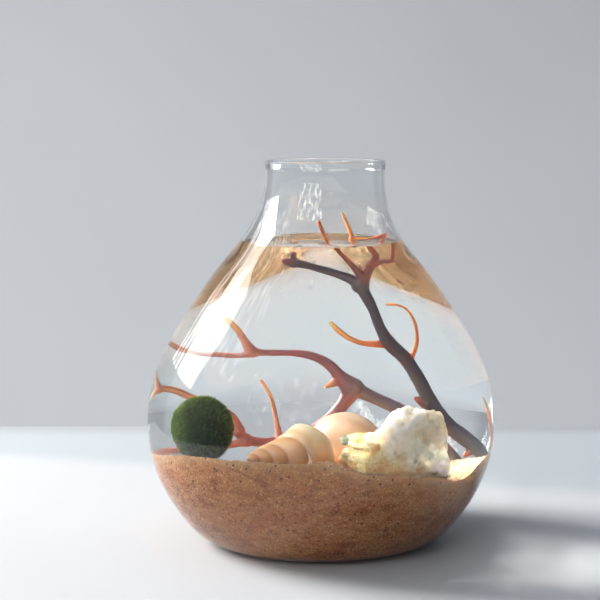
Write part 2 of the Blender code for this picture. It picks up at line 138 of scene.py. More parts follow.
# copies of one small shape: each point is turned, stretched to the copy's size and moved to it
def copies(shape, faces, turns, sizes, centres):
    points = np.einsum("nij,nkj->nki", turns, shape[None] * sizes[:, None, :]) + centres[:, None]
    shifts = (np.arange(len(centres)) * len(shape))[:, None, None]
    return points.reshape(-1, 3), (faces[None] + shifts).reshape(-1, faces.shape[1])


# random turns as matrices, from random quaternions of length 1
def randomTurns(count, rng):
    q = rng.normal(size=(count, 4))
    w, x, y, z = unit(q).T
    rows = [[1 - 2 * (y * y + z * z), 2 * (x * y - w * z), 2 * (x * z + w * y)],
            [2 * (x * y + w * z), 1 - 2 * (x * x + z * z), 2 * (y * z - w * x)],
            [2 * (x * z - w * y), 2 * (y * z + w * x), 1 - 2 * (x * x + y * y)]]
    return np.array(rows).transpose(2, 0, 1)


# turns that carry the z axis to each given direction, with the other two axes square to it
def turnsTowards(directions):
    z = unit(directions)
    helper = np.where(np.abs(z[:, 2:]) < 0.9, (0.0, 0.0, 1.0), (1.0, 0.0, 0.0))
    x = unit(np.cross(helper, z))
    return np.stack([x, np.cross(z, x), z], axis=-1)


# a mesh from points in mm, with a number for each point where a material reads one; points that
# come without faces are a grid whose columns close round
def meshObject(name, points, faces=None, values=None, weld=True, sharpDegrees=None):
    faces = gridFaces(*points.shape[:2]) if faces is None else faces
    mesh = bpy.data.meshes.new(name)
    mesh.from_pydata(np.asarray(points).reshape(-1, 3) * mm, [], np.asarray(faces).tolist())
    for label, numbers in (values or {}).items():
        data = mesh.attributes.new(label, "FLOAT", "POINT").data
        data.foreach_set("value", np.ravel(numbers).astype(np.float32))
    if weld:
        shape = bmesh.new()
        shape.from_mesh(mesh)
        bmesh.ops.remove_doubles(shape, verts=shape.verts, dist=0.0005 * mm)
        bmesh.ops.recalc_face_normals(shape, faces=shape.faces)
        shape.to_mesh(mesh)
        shape.free()
    mesh.shade_smooth()
    if sharpDegrees:
        mesh.set_sharp_from_angle(angle=math.radians(sharpDegrees))
    piece = bpy.data.objects.new(name, mesh)
    scene.collection.objects.link(piece)
    return piece


# gives a piece its material and body, and hides the solids that it stands for
def finishPiece(piece, material, slot, *nodes):
    piece.data.materials.append(material)
    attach(piece, "root")
    if nodes:
        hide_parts(*nodes)
    print(piece.name, len(piece.data.polygons), "faces")


# links a node's inputs to their sources, where a node stands for its first output and a name for
# the number that each point of the piece carries under it
def linkInputs(node, links):
    for key, source in links.items():
        if isinstance(source, str):
            source = addNode(node.id_data, "Attribute", {"attribute_name": source}).outputs["Fac"]
        elif isinstance(source, bpy.types.Node):
            source = source.outputs[0]
        node.id_data.links.new(source, node.inputs[key])


# adds a node: settings are its inputs' values or its own properties, links its inputs' sources
def addNode(tree, kind, settings=None, links=None):
    node = tree.nodes.new("ShaderNode" + kind)
    for key, value in (settings or {}).items():
        if key == "stops":
            ramp = node.color_ramp
            while len(ramp.elements) < len(value):
                ramp.elements.new(0.5)
            for stop, (place, color) in zip(ramp.elements, value):
                stop.position = place
                stop.color = hexColor(color)
        elif isinstance(key, int) or key in node.inputs:
            node.inputs[key].default_value = value
        else:
            setattr(node, key, value)
    linkInputs(node, links or {})
    return node


# a material with one shader: gives the material, its node adder, the shader and the piece's own
# coordinates
def newMaterial(name, settings):
    material = bpy.data.materials.new(name)
    material.use_nodes = True
    material.node_tree.nodes.clear()
    add = partial(addNode, material.node_tree)
    surface = add("BsdfPrincipled", settings)
    add("OutputMaterial", {}, {"Surface": surface})
    return material, add, surface, add("TexCoord").outputs["Object"]


# lays tones over a colour: each layer is a pattern, the colours that a ramp gives it, and the
# share by which they are multiplied into the colour so far
def layTones(add, color, *layers):
    for pattern, stops, share in layers:
        tone = add("ValToRGB", {"stops": stops}, {0: pattern})
        settings = {"data_type": "RGBA", "blend_type": "MULTIPLY", 0: share}
        color = add("Mix", settings, {6: color, 7: tone}).outputs[2]
    return color


# lays one flat tone over a colour, by a share from 0 to 1
def coverTone(add, color, code, share):
    return add("Mix", {"data_type": "RGBA", 7: hexColor(code)}, {0: share, 6: color}).outputs[2]


view = {
    "distance": 676.6, "height": 173.0, "down": 6.56,
    "lens": 103.92, "sensor": 36.0,
    "vaseAxisPixel": 321, "imagePixels": 600,
}
camera = bpy.data.objects.new("camera", bpy.data.cameras.new("camera"))
scene.collection.objects.link(camera)
camera.location = (0, -view["distance"] * mm, view["height"] * mm)
camera.rotation_euler = (math.radians(90 - view["down"]), 0, 0)
camera.data.lens = view["lens"]
camera.data.sensor_width = view["sensor"]
camera.data.shift_x = (0.5 * view["imagePixels"] - view["vaseAxisPixel"]) / view["imagePixels"]
scene.camera = camera
scene.view_settings.view_transform = "Standard"
scene.cycles.blur_glossy = 0.0  # light that has come through clear glass and water stays sharp
scene.cycles.max_bounces = 40  # enough to get into the vase, round in it and out again
scene.cycles.diffuse_bounces = 12
scene.cycles.glossy_bounces = 12
scene.cycles.transmission_bounces = 40
scene.cycles.sample_clamp_indirect = 0.0  # lamps seen through the water keep their full light

room = {
    "tableBack": 236.0, "tableFront": -1100.0, "tableLeft": -290.0, "tableRight": 900.0,
    "tableThick": 4.0, "tableColors": [(0.3, "#b0b3b8"), (0.7, "#b2b5ba")],
    # shade: a painted shadow over the table's back, its edge slanting by the lean
    "shadeColor": "#a0a7ad", "shadeFrom": 98.0, "shadeTo": 132.0, "shadeLean": 0.29,
    "farColor": "#92959b", "farFrom": 206.0, "farTo": 236.0,
    "wallBack": 1500.0, "wallSide": 2400.0, "wallLow": -900.0, "wallHigh": 2300.0,
    "wallColors": [(0.3, "#8b8e92"), (0.7, "#8d9094")],
    "airColors": [(0.0, "#79818b"), (0.75, "#e2eaf3")], "airFrom": (-0.45, 0.55, 0.7),
    "airStrength": 0.78,
}


# the table top: pale lacquer with a painted shadow over its back, whose far strip fades to the
# wall's tone, so the edge reads soft
def makeTable():
    back, front, low = room["tableBack"], room["tableFront"], -room["tableThick"]
    left, right = room["tableLeft"], room["tableRight"]
    corners = [(left, front, 0), (right, front, 0), (right, back, 0), (left, back, 0),
               (left, front, low), (right, front, low), (right, back, low), (left, back, low)]
    faces = [(0, 1, 2, 3), (7, 6, 5, 4), (0, 4, 5, 1), (1, 5, 6, 2), (2, 6, 7, 3), (3, 7, 4, 0)]
    table = meshObject("table", corners, faces, weld=False)
    table.data.shade_flat()
    material, add, surface, place = newMaterial("satinLacqueredBoard", {"Roughness": 0.55})
    # lacquer over board: an even pale white, a trace cloudy; the greyer band towards the back at
    # right is a painted shadow
    cloud = add("TexNoise", {"Scale": 1 / (90 * mm)}, {"Vector": place})
    color = add("ValToRGB", {"stops": room["tableColors"]}, {0: cloud})
    parts = add("SeparateXYZ", {}, {0: place}).outputs
    # painted shadow: greyer over the back, with its edge nearer at the right
    slant = add("Math", {"operation": "MULTIPLY_ADD", 1: room["shadeLean"]},
                {0: parts["X"], 2: parts["Y"]})
    for key, line in (("shade", slant), ("far", parts["Y"])):
        reach = {"From Min": room[key + "From"] * mm, "From Max": room[key + "To"] * mm}
        share = add("MapRange", {"interpolation_type": "SMOOTHSTEP", **reach}, {"Value": line})
        color = coverTone(add, color, room[key + "Color"], share)
    linkInputs(surface, {"Base Color": color})
    table.data.materials.append(material)


# the wall: one upright sheet, far behind the vase
def makeWall():
    low, high, side = room["wallLow"], room["wallHigh"], room["wallSide"]
    corners = [(-side, room["wallBack"], low), (side, room["wallBack"], low),
               (side, room["wallBack"], high), (-side, room["wallBack"], high)]
    wall = meshObject("wall", corners, [(0, 1, 2, 3)], weld=False)
    material, add, surface, place = newMaterial("matteWallPaint", {"Roughness": 0.9})
    # rolled matte paint: one even grey
    cloud = add("TexNoise", {"Scale": 1 / (220 * mm)}, {"Vector": place})
    color = add("ValToRGB", {"stops": room["wallColors"]}, {0: cloud})
    linkInputs(surface, {"Base Color": color})
    wall.data.materials.append(material)


# Softboxes: radiance is what their face shows. The key stands at the left, a little behind, and
# the two streak boxes are there for the broken light that the glass mirrors, so they light
# nothing dull.
softboxes = {
    "keySoftbox": {"centre": (-1205, 480, 750), "target": (0, 0, 60), "size": (600, 800),
                   "radiance": 45.0, "color": "#fffcf6", "mirrored": False},
    "frontSoftbox": {"centre": (-620, -1150, 620), "target": (0, 0, 60), "size": (1100, 900),
                     "radiance": 16.0, "color": "#fffcf6", "mirrored": False, "dapple": (7, 3)},
    "wallSoftbox": {"centre": (0, 500, -500), "target": (0, 1500, -150), "size": (5000, 500),
                    "radiance": 5.0, "color": "#ffffff", "mirrored": False},
    "backStreaks": {"centre": (-1000, 735, 960), "target": (0, 735, 960), "size": (670, 1280),
                    "radiance": 11.0, "color": "#ffffff", "dapple": (10, 3.5), "dull": False},
    "sideStreaks": {"centre": (-1000, -20, 1060), "target": (0, -20, 1060), "size": (800, 900),
                    "radiance": 3.0, "color": "#ffffff", "dapple": (12, 4), "dull": False},
}


# power is radiance times pi times area; dapple says how many patches across and up break the
# face into bright and dim
def addSoftbox(name, box):
    lamp = bpy.data.lights.new(name, "AREA")
    lamp.shape = "RECTANGLE"
    lamp.size, lamp.size_y = box["size"][0] * mm, box["size"][1] * mm
    lamp.energy = box["radiance"] * math.pi * lamp.size * lamp.size_y
    lamp.color = hexColor(box["color"])[:3]
    if "dapple" in box:
        lamp.use_nodes = True
        lamp.node_tree.nodes.clear()
        add = partial(addNode, lamp.node_tree)
        face = add("NewGeometry").outputs["Parametric"]
        across = add("Mapping", {"Scale": (*box["dapple"], 1.0)}, {"Vector": face})
        patches = add("TexNoise", {"Scale": 1.0, "Detail": 6.0, "Roughness": 0.62},
                      {"Vector": across})
        streaks = add("ValToRGB", {"stops": [(0.48, "#0c0c0c"), (0.66, "#ffffff")]}, {0: patches})
        glow = add("Emission", {}, {"Strength": streaks})
        add("OutputLight", {}, {"Surface": glow})
    softbox = bpy.data.objects.new(name, lamp)
    scene.collection.objects.link(softbox)
    aim = Vector(np.array(box["target"]) - box["centre"])
    softbox.location = np.array(box["centre"]) * mm
    softbox.rotation_euler = aim.to_track_quat("-Z", "Y").to_euler()
    softbox.visible_camera = False
    softbox.visible_glossy = box.get("mirrored", True)
    softbox.visible_diffuse = box.get("dull", True)


makeTable()
makeWall()
for boxName, boxSettings in softboxes.items():
    addSoftbox(boxName, boxSettings)
scene.world = bpy.data.worlds.new("paleRoom")
scene.world.use_nodes = True
air = scene.world.node_tree
# the room's own light: pale from the left, the back and above, dim from the camera's side
towards = addNode(air, "TexCoord").outputs["Generated"]
aim = addNode(air, "VectorMath", {"operation": "DOT_PRODUCT", 1: room["airFrom"]},
              {0: towards}).outputs["Value"]
glow = addNode(air, "ValToRGB", {"stops": room["airColors"]}, {0: aim})
linkInputs(air.nodes["Background"], {"Color": glow})
air.nodes["Background"].inputs["Strength"].default_value = room["airStrength"]
print("camera, table, wall and light")


vase = {
    "outline": [(34.0, 0.0), (46.4, 2.5), (56.2, 12.0), (65.8, 30.0), (68.5, 48.0), (64.3, 70.0),
                (53.2, 90.0), (39.0, 110.0), (29.6, 122.0), (26.0, 129.0), (23.7, 139.0),
                (23.4, 150.0)],
    "wall": 1.5, "lipWall": 1.15, "neckFrom": 96.0, "neckTo": 136.0, "wetTop": 118.4,
    "leanFrom": 114.0, "leanTo": 141.0, "lean": 1.6,
    "lipRadius": 0.8, "kickUp": 0.3, "columns": 192, "steps": 8,
}


# the natural cubic spline through points: second slopes zero at the ends and even across each
# joint, solved from the spans' lengths, so that the curve's bend never jumps
def evenCurve(points, steps):
    points = np.array(points, float)
    spans = np.diff(points, axis=0)
    h = np.linalg.norm(spans, axis=1)
    slopes = spans / h[:, None]
    bends = np.eye(len(points))
    inner = np.arange(1, len(points) - 1)
    bends[inner, inner - 1], bends[inner, inner + 1] = h[:-1], h[1:]
    bends[inner, inner] = 2 * (h[:-1] + h[1:])
    jumps = np.zeros_like(points)
    jumps[1:-1] = 6 * np.diff(slopes, axis=0)
    second = np.linalg.solve(bends, jumps)
    t = (np.arange(steps) / steps)[:, None, None]
    h = h[:, None]
    curve = ((1 - t) * points[:-1] + t * points[1:]
             + ((1 - t) ** 3 - (1 - t)) * h ** 2 / 6 * second[:-1]
             + (t ** 3 - t) * h ** 2 / 6 * second[1:])
    return np.vstack([curve.transpose(1, 0, 2).reshape(-1, points.shape[1]), points[-1:]])


# the outer outline, finely stepped, and the same moved square to itself by the wall, which thins
# up the neck; both as rows of (radius, height), bottom to top
def wallOutlines():
    outer = evenCurve(vase["outline"], vase["steps"])
    along = np.gradient(outer, axis=0)
    inward = unit(np.column_stack([-along[:, 1], along[:, 0]]))
    inward[0] = (0.0, 1.0)
    neck = smoothStep(outer[:, 1], vase["neckFrom"], vase["neckTo"])
    wall = vase["wall"] + (vase["lipWall"] - vase["wall"]) * neck
    return outer, outer + inward * wall[:, None]


outerWall, innerWall = wallOutlines()
innerFloor = innerWall[0, 1]


# the inner wall's radius at a height, read between its rows
def innerRadius(height):
    return np.interp(height, innerWall[:, 1], innerWall[:, 0])


# sideways shift of the neck: none below the shoulder, easing to the full lean
def leaned(points):
    shift = vase["lean"] * smoothStep(points[..., 2], vase["leanFrom"], vase["leanTo"])
    return points + shift[..., None] * np.array([1.0, 0.0, 0.0])


# the glass: up the outer wall, over a round lip, down the inner wall and across the floor
def makeVase():
    lip = vase["lipRadius"]
    top = vase["outline"][-1][1] - lip
    middle = vase["outline"][-1][0] - 0.5 * vase["lipWall"]
    angles = np.radians(np.linspace(-15, 195, 13))
    lipRows = np.column_stack([middle + lip * np.cos(angles), top + lip * np.sin(angles)])
    share = np.linspace(0, 1, 10)[:-1]
    foot = vase["outline"][0][0]
    under = np.column_stack([share * foot, vase["kickUp"] * (1 - share ** 2)])
    floorRows = np.column_stack([share[::-1] * foot, np.full(9, innerFloor)])
    outside = outerWall[outerWall[:, 1] < top - lip]
    inside = innerWall[innerWall[:, 1] < top - lip][::-1]
    profile = np.vstack([under, outside, lipRows, inside, floorRows])
    points = roundPoints(profile[:, :1], anglesRound(vase["columns"]), profile[:, 1:])
    piece = meshObject("glassVase", leaned(points))
    # blown glass: clear, bright and even
    clear = {"Base Color": hexColor("#fdfefe"), "Roughness": 0.0, "IOR": 1.5,
             "Transmission Weight": 1.0}
    finishPiece(piece, newMaterial("blownSodaLimeGlass", clear)[0], "clear_glass", "glass_vase")
    # the wetted inner face mirrors next to nothing, as water's index is close to the glass's
    faint = {"Specular Tint": (0.1, 0.1, 0.1, 1.0)}
    piece.data.materials.append(newMaterial("wettedInnerGlass", {**clear, **faint})[0])
    centres = np.zeros(len(piece.data.polygons) * 3, np.float32)
    piece.data.polygons.foreach_get("center", centres)
    centres = centres.reshape(-1, 3) / mm
    outside = np.interp(centres[:, 2], outerWall[:, 1], outerWall[:, 0]) - 0.5
    across = np.hypot(centres[:, 0], centres[:, 1])
    wet = (centres[:, 2] < vase["wetTop"]) & (centres[:, 2] > 0.5 * innerFloor) & (across < outside)
    piece.data.polygons.foreach_set("material_index", wet.astype(np.int32))


makeVase()


sand = {
    "middle": 32.9, "slope": -0.16, "sideRise": 2.3, "reach": 72.0,
    "swells": [(-46.0, -46.0, 1.2, 18.0, 18.0), (34.0, -55.0, -5.8, 24.0, 26.0),
               (53.0, -40.0, -6.0, 11.0, 14.0), (46.0, -8.0, 1.6, 14.0, 14.0),
               (3.0, -50.0, 2.6, 6.0, 8.0), (13.0, -66.0, -1.4, 7.0, 8.0),
               (-4.0, -68.0, 0.9, 5.0, 6.0)],
    # waves on its top: amount, size, seed; the grains lie on the first two
    "ripples": [(0.30, 5.0, 1), (0.20, 1.4, 2), (0.16, 0.6, 3)],
    # odd grains in its colour: size, reach, rarity, amount, tone
    "specks": [(2.2, 0.23, 0.62, 0.85, "#2a1c14"), (1.3, 0.24, 0.72, 0.6, "#6a452e"),
               (1.5, 0.22, 0.78, 0.6, "#fbeeda")],
    "intoGlass": 0.15, "floor": 0.7, "footDepth": 0.75, "footTop": 9.0,
    # the rim's depth and the glow set how far down the side the painted rim light reaches, deeper
    # at the front right
    "columns": 480, "topRows": 100, "sideRows": 40, "floorRows": 8, "paintedRimLightDepth": 2.2,
    "paintedRimGlowDepth": 4.5, "paintedRimGlowAt": 5.5, "paintedRimGlowSpread": 0.45,
    "grains": 9000, "grainSize": (0.22, 0.55), "grainMargin": 0.4, "grainLift": 0.08,
}


# height of the sand: a slope from back to front, raised at both sides, with a few soft swells
def sandHeight(x, y):
    height = sand["middle"] + sand["slope"] * y + sand["sideRise"] * (x / sand["reach"]) ** 2
    for centreX, centreY, rise, spreadX, spreadY in sand["swells"]:
        height = height + rise * np.exp(-((x - centreX) / spreadX) ** 2
                                        - ((y - centreY) / spreadY) ** 2)
    return height


# points on the sand's smooth top
def sandPoints(radius, around):
    points = roundPoints(radius, around, 0.0)
    points[..., 2] = sandHeight(points[..., 0], points[..., 1])
    return points


# where the sand meets the glass in each direction, found by stepping up and down a few times
def sandContact(around):
    height = np.full_like(around, sand["middle"])
    for _ in range(20):
        height = sandPoints(innerRadius(height), around)[:, 2]
    return height


# the bed: its rippled top, its side a little into the glass, and its bottom
def makeSand():
    around = anglesRound(sand["columns"])
    contact = sandContact(around)
    edge = innerRadius(contact) + sand["intoGlass"]
    share = np.linspace(0, 1, sand["topRows"])[:, None] ** 0.8
    top = sandPoints(share * edge, around)
    top[..., 2] += noiseSum(top * (1, 1, 0), sand["ripples"])
    low = sand["floor"]
    drop = np.linspace(0, 1, sand["sideRows"])[1:, None] ** 1.7
    height = top[-1:, :, 2] * (1 - drop) + low * drop
    deeper = sand["footDepth"] * np.clip(1 - height / sand["footTop"], 0, 1) ** 2
    radius = innerRadius(height) + sand["intoGlass"] + deeper
    side = roundPoints(radius, around, height)
    inward = np.linspace(1, 0, sand["floorRows"])[1:, None]
    bottom = side[-1:] * np.stack([inward, inward, 1 + 0 * inward], axis=-1)
    points = np.concatenate([top, side, bottom])
    # painted rim light: 1 on top, fading down the side over the rim's depth, deeper at the lit
    # front right
    depth = sand["paintedRimLightDepth"] + sand["paintedRimGlowDepth"] * np.exp(
        -((around - sand["paintedRimGlowAt"]) / sand["paintedRimGlowSpread"]) ** 2)
    rim = np.ones(points.shape[:2])
    rim[len(top):] = np.exp(-(top[-1, :, 2] - points[len(top):, :, 2]) / depth)
    piece = meshObject("sandBed", points, values={"rim": rim}, sharpDegrees=50)
    finishPiece(piece, makeSandMaterial(), "tan_sand", "sand_bed")


# the sand's colour and grain
def makeSandMaterial():
    material, add, surface, place = newMaterial("wetQuartzSand", {
        "Roughness": 0.75, "Specular IOR Level": 0.15, "Subsurface Weight": 0.25,
        "Subsurface Radius": (1.0, 0.6, 0.35), "Subsurface Scale": 4.0 * mm})
    # fine quartz and feldspar sand, wet and packed: an even rosy tan with faint layers; its 0.3 mm
    # grains are drawn at 0.8 mm so that they show, with a few dark and a few pale ones; the paler
    # rim, where the light comes in, is painted light
    grain = add("TexNoise", {"Scale": 1 / (0.8 * mm), "Detail": 3.0, "Roughness": 0.72},
                {"Vector": place})
    color = add("ValToRGB", {"stops": [(0.32, "#a37650"), (0.5, "#c79b6d"), (0.68, "#e6c697")]},
                {0: grain}).outputs[0]
    flat = add("Mapping", {"Scale": (1.0, 1.0, 2.2)}, {"Vector": place})
    layer = add("TexNoise", {"Scale": 1 / (6 * mm), "Detail": 5.0, "Roughness": 0.62,
                             "Distortion": 0.8}, {"Vector": flat})
    drift = add("TexNoise", {"Scale": 1 / (14 * mm), "Detail": 3.0}, {"Vector": flat})
    color = layTones(add, color,
                     (layer, [(0.34, "#b58a6a"), (0.5, "#eed6bc"), (0.70, "#fff6e0")], 0.8),
                     (drift, [(0.42, "#ffffff"), (0.62, "#f2c9b8")], 0.5))
    # painted light: the sand is made paler at the rim, where the light comes in
    lit = add("Math", {"operation": "MULTIPLY", 1: 0.55}, {0: "rim"})
    color = coverTone(add, color, "#f0cfa0", lit)
    ragged = add("VectorMath", {"operation": "MULTIPLY_ADD", 1: (0.6 * mm,) * 3},
                 {0: grain.outputs["Color"], 2: place})
    for size, reach, rare, amount, tone in sand["specks"]:
        cells = add("TexVoronoi", {"Scale": 1 / (size * mm)}, {"Vector": ragged})
        near = add("MapRange", {"From Min": reach, "From Max": 0.7 * reach, "To Max": amount},
                   {"Value": cells.outputs["Distance"]})
        chance = add("SeparateColor", {}, {0: cells.outputs["Color"]})
        few = add("Math", {"operation": "GREATER_THAN", 1: rare}, {0: chance})
        speck = add("Math", {"operation": "MULTIPLY"}, {0: near, 1: few})
        color = coverTone(add, color, tone, speck)
    bump = add("Bump", {"Strength": 0.7, "Distance": 0.3 * mm}, {"Height": grain})
    linkInputs(surface, {"Base Color": color, "Normal": bump})
    return material


# loose grains: flat-sided lumps scattered over the sand, each with a tone of its own
def makeGrains():
    rng = np.random.default_rng(11)
    lump = np.array([(1, 0, 0), (-1, 0, 0), (0, 1, 0), (0, -1, 0), (0, 0, 1), (0, 0, -1)], float)
    sides = np.array([(0, 2, 4), (2, 1, 4), (1, 3, 4), (3, 0, 4),
                      (2, 0, 5), (1, 2, 5), (3, 1, 5), (0, 3, 5)])
    around = rng.uniform(0, math.tau, sand["grains"])
    share = np.sqrt(rng.uniform(0, 1, sand["grains"]))
    edge = innerRadius(sandContact(around)) - sand["grainMargin"]
    centres = sandPoints(share * edge, around)
    centres[:, 2] += noiseSum(centres * (1, 1, 0), sand["ripples"][:2]) + sand["grainLift"]
    sizes = rng.uniform(*sand["grainSize"], (sand["grains"], 1)) * rng.uniform(
        0.6, 1.0, (sand["grains"], 3))
    points, faces = copies(lump, sides, randomTurns(sand["grains"], rng), sizes, centres)
    tone = np.repeat(rng.uniform(0, 1, sand["grains"]), len(lump))
    piece = meshObject("sandGrains", points, faces, {"tone": tone}, weld=False)
    piece.data.shade_flat()
    material, add, surface, _ = newMaterial("looseQuartzGrains", {
        "Roughness": 0.5, "Specular IOR Level": 0.25})
    # single grains: mostly clear tan quartz, some white, orange and dark ones
    color = add("ValToRGB", {"stops": [(0.0, "#4a362a"), (0.03, "#b08c66"), (0.3, "#c8a67e"),
                                       (0.6, "#dcbd98"), (0.85, "#ead2b4"), (1.0, "#f4e8d8")]},
                {0: "tone"})
    linkInputs(surface, {"Base Color": color})
    finishPiece(piece, material, "tan_sand")


makeSand()
makeGrains()


water = {
    "level": 117.0, "intoGlass": 0.1, "intoSand": 1.1,
    "wallRise": 1.5, "wallFade": 1.7, "twigRise": 0.7, "twigFade": 0.8,
    "twigs": [(0.9, -3.2, 0.75), (12.4, 1.9, 0.9), (23.6, 0.0, 0.7), (-10.8, 2.0, 0.9)],
    "columns": 192, "topRows": 70, "sideRows": 60, "bottomRows": 40,
}


# the water: a level top that climbs the glass and the twigs, each by its rise times
# exp(-distance / fade), then down the inner wall to the sand and back under it
def makeWater():
    around = anglesRound(water["columns"])
    topEdge = water["level"] + water["wallRise"]
    edge = innerRadius(topEdge) + water["intoGlass"]
    share = np.linspace(0, 1, water["topRows"])[:, None] ** 0.6
    radius = share * edge
    top = roundPoints(radius, around, 0.0)
    height = water["level"] + water["wallRise"] * np.exp((radius - edge) / water["wallFade"])
    for twigX, twigY, thick in water["twigs"]:
        away = np.maximum(np.hypot(top[..., 0] - twigX, top[..., 1] - twigY) - thick, 0)
        height = height + water["twigRise"] * np.exp(-away / water["twigFade"])
    top[..., 2] = height
    bottomEdge = sandContact(around) - water["intoSand"]
    drop = np.linspace(0, 1, water["sideRows"])[1:-1, None]
    height = topEdge * (1 - drop) + bottomEdge * drop
    radius = innerRadius(height) + water["intoGlass"]
    side = roundPoints(radius, around, height)
    edge = innerRadius(bottomEdge) + water["intoGlass"]
    inward = np.linspace(1, 0, water["bottomRows"])[:, None]
    bottom = sandPoints(inward * edge, around) - (0, 0, water["intoSand"])
    piece = meshObject("water", leaned(np.concatenate([top, side, bottom])), sharpDegrees=50)
    # still fresh water: clear and flat, with little mirroring where it meets the glass
    clear = {"Base Color": hexColor("#fefefe"), "Roughness": 0.0, "IOR": 1.333,
             "Transmission Weight": 1.0, "Specular Tint": (0.1, 0.1, 0.1, 1.0)}
    finishPiece(piece, newMaterial("stillFreshWater", clear)[0], "water", "water")


makeWater()


ball = {
    "centre": (-41.3, -33.0, 50.4), "radii": (11.6, 11.6, 10.3), "rows": 90, "columns": 150,
    "threads": 21000, "threadLength": (0.9, 1.7), "threadWidth": 0.075, "lean": 0.7,
    "clumping": 0.35, "straying": 0.6, "rising": 0.35, "rootDepth": 0.25,
    "lumps": [(0.40, 5.0, 21), (0.32, 1.6, 22)],  # amount, size, seed
}


# the ball: an ellipsoid with soft lumps from two noises along its normal
def ballSurface(directions):
    radii = np.array(ball["radii"])
    lumps = noiseSum(directions * radii[0], ball["lumps"])
    return directions * (radii + lumps[..., None]) + ball["centre"]


# the threads: thin spikes with a bend, from just under the ball's skin, leaning at random
def makeBall():
    rng = np.random.default_rng(5)
    count = ball["threads"]
    directions = unit(rng.normal(size=(count, 3)))
    clump = np.stack([softNoise(directions * 12, 3.0, seed) for seed in (31, 32, 33)], axis=-1)
    stray = ball["clumping"] * clump + ball["straying"] * rng.normal(size=(count, 3))
    leaning = directions + ball["lean"] * stray + ball["rising"] * directions
    ring = roundPoints(1.0, anglesRound(3), 0.0)
    spike = np.vstack([ring, ring * (0.8, 0.8, 0) + (0.9, 0, 0.55), [(2.6, 0, 1.0)]])
    sides = np.array([(0, 1, 4), (0, 4, 3), (1, 2, 5), (1, 5, 4), (2, 0, 3), (2, 3, 5),
                      (3, 4, 6), (4, 5, 6), (5, 3, 6)])
    length = rng.uniform(*ball["threadLength"], count)
    width = ball["threadWidth"] * rng.uniform(0.7, 1.3, count)
    sizes = np.column_stack([width, width, length])
    roots = ballSurface(directions) - ball["rootDepth"] * directions
    points, faces = copies(spike, sides, turnsTowards(leaning), sizes, roots)
    core = meshObject("mossBallCore", ballSurface(sphereGrid(ball["rows"], ball["columns"])))
    threads = meshObject("mossThreads", points, faces, {
        "tip": np.tile(spike[:, 2], count),
        "tone": np.repeat(rng.uniform(0, 1, count), len(spike))}, weld=False)
    finishPiece(core, makeFelt(), "green_algae", "marimo_ball")
    finishPiece(threads, makeThreads(), "green_algae")


# the ball's skin
def makeFelt():
    material, add, surface, place = newMaterial("feltedAlgaeMass", {
        "Roughness": 0.9, "Specular IOR Level": 0.05})
    # living green algae rolled into a felt: deep green, nearly black between the threads, partly
    # the algae's own dark green and partly painted shade
    patch = add("TexNoise", {"Scale": 1 / (5 * mm), "Detail": 3.0}, {"Vector": place})
    color = add("ValToRGB", {"stops": [(0.3, "#121c08"), (0.7, "#20300c")]}, {0: patch})
    felt = add("TexNoise", {"Scale": 1 / (0.6 * mm), "Detail": 4.0, "Roughness": 0.7},
               {"Vector": place})
    bump = add("Bump", {"Strength": 0.8, "Distance": 0.4 * mm}, {"Height": felt})
    linkInputs(surface, {"Base Color": color, "Normal": bump})
    return material


# the threads' colour, from root to tip
def makeThreads():
    material, add, surface, place = newMaterial("algaeThreads", {
        "Roughness": 0.8, "Specular IOR Level": 0.08, "Subsurface Weight": 0.6,
        "Subsurface Radius": (0.7, 1.0, 0.3), "Subsurface Scale": 0.6 * mm})
    # single threads of the algae: dark at the root, clear yellow-green at the tip; the dark roots
    # are partly painted shade among the threads
    patch = add("TexNoise", {"Scale": 1 / (5 * mm), "Detail": 3.0}, {"Vector": place})
    root = add("ValToRGB", {"stops": [(0.3, "#0f1a05"), (0.7, "#1b2c0a")]}, {0: patch})
    end = add("ValToRGB", {"stops": [(0.0, "#1e2c08"), (0.5, "#36490f"), (0.85, "#5c7422"),
                                     (1.0, "#b4c268")]}, {0: "tone"})
    color = add("Mix", {"data_type": "RGBA"}, {0: "tip", 6: root, 7: end}).outputs[2]
    tuft = add("TexNoise", {"Scale": 1 / (1.5 * mm), "Detail": 3.0, "Roughness": 0.6},
               {"Vector": place})
    color = layTones(add, color, (tuft, [(0.38, "#5c6650"), (0.62, "#ffffff")], 1.0))
    linkInputs(surface, {"Base Color": color})
    return material


makeBall()


spiral = {
    "tip": (-25.8, -51.0, 43.0), "riseDegrees": 14.0, "turnDegrees": 12.0,
    "outline": [(0.0, 0.0), (0.5, 0.9), (1.6, 1.5), (3.8, 2.3), (7.8, 3.6), (10.8, 4.3),
                (13.5, 5.1), (15.6, 5.8), (17.7, 6.7), (20.4, 7.5), (22.8, 7.7), (25.0, 7.5),
                (27.0, 6.9), (28.8, 5.5), (29.8, 3.4), (30.3, 0.0)],
    "drop": 0.7, "endDrop": 4.5, "endFrom": 19.5, "slant": 0.6, "tilt": 0.13,
    "whorlStart": -0.434, "whorlLength": 11.0, "whorlGrowth": 1.25, "lastWhorl": 17.0,
    "swellFrom": 0.45, "swell": 0.55, "frontTurn": 0.75, "frontFrom": 12.0, "frontTo": 14.0,
    "lipFade": 0.045, "gapFade": 0.05, "dropFrom": 3.0, "dropTo": 12.0,
    # the warm heights: where the last whorl is painted orange low down, as light coming through the
    # thin shell
    "lastFade": 2.5, "ribSize": 0.004, "ribs": 40, "paintedGlowFrom": 40.5, "paintedGlowTo": 54.5,
    "groove": 0.055, "grooveWidth": 0.16, "lipRise": 0.25, "lipGap": 0.15,
    # the slit: where a pale wedge is painted in front as light
    "paintedSlitTop": 46.4, "paintedSlitHeight": 4.6, "paintedSlitWidth": 0.17, "columns": 260, "steps": 20,
}


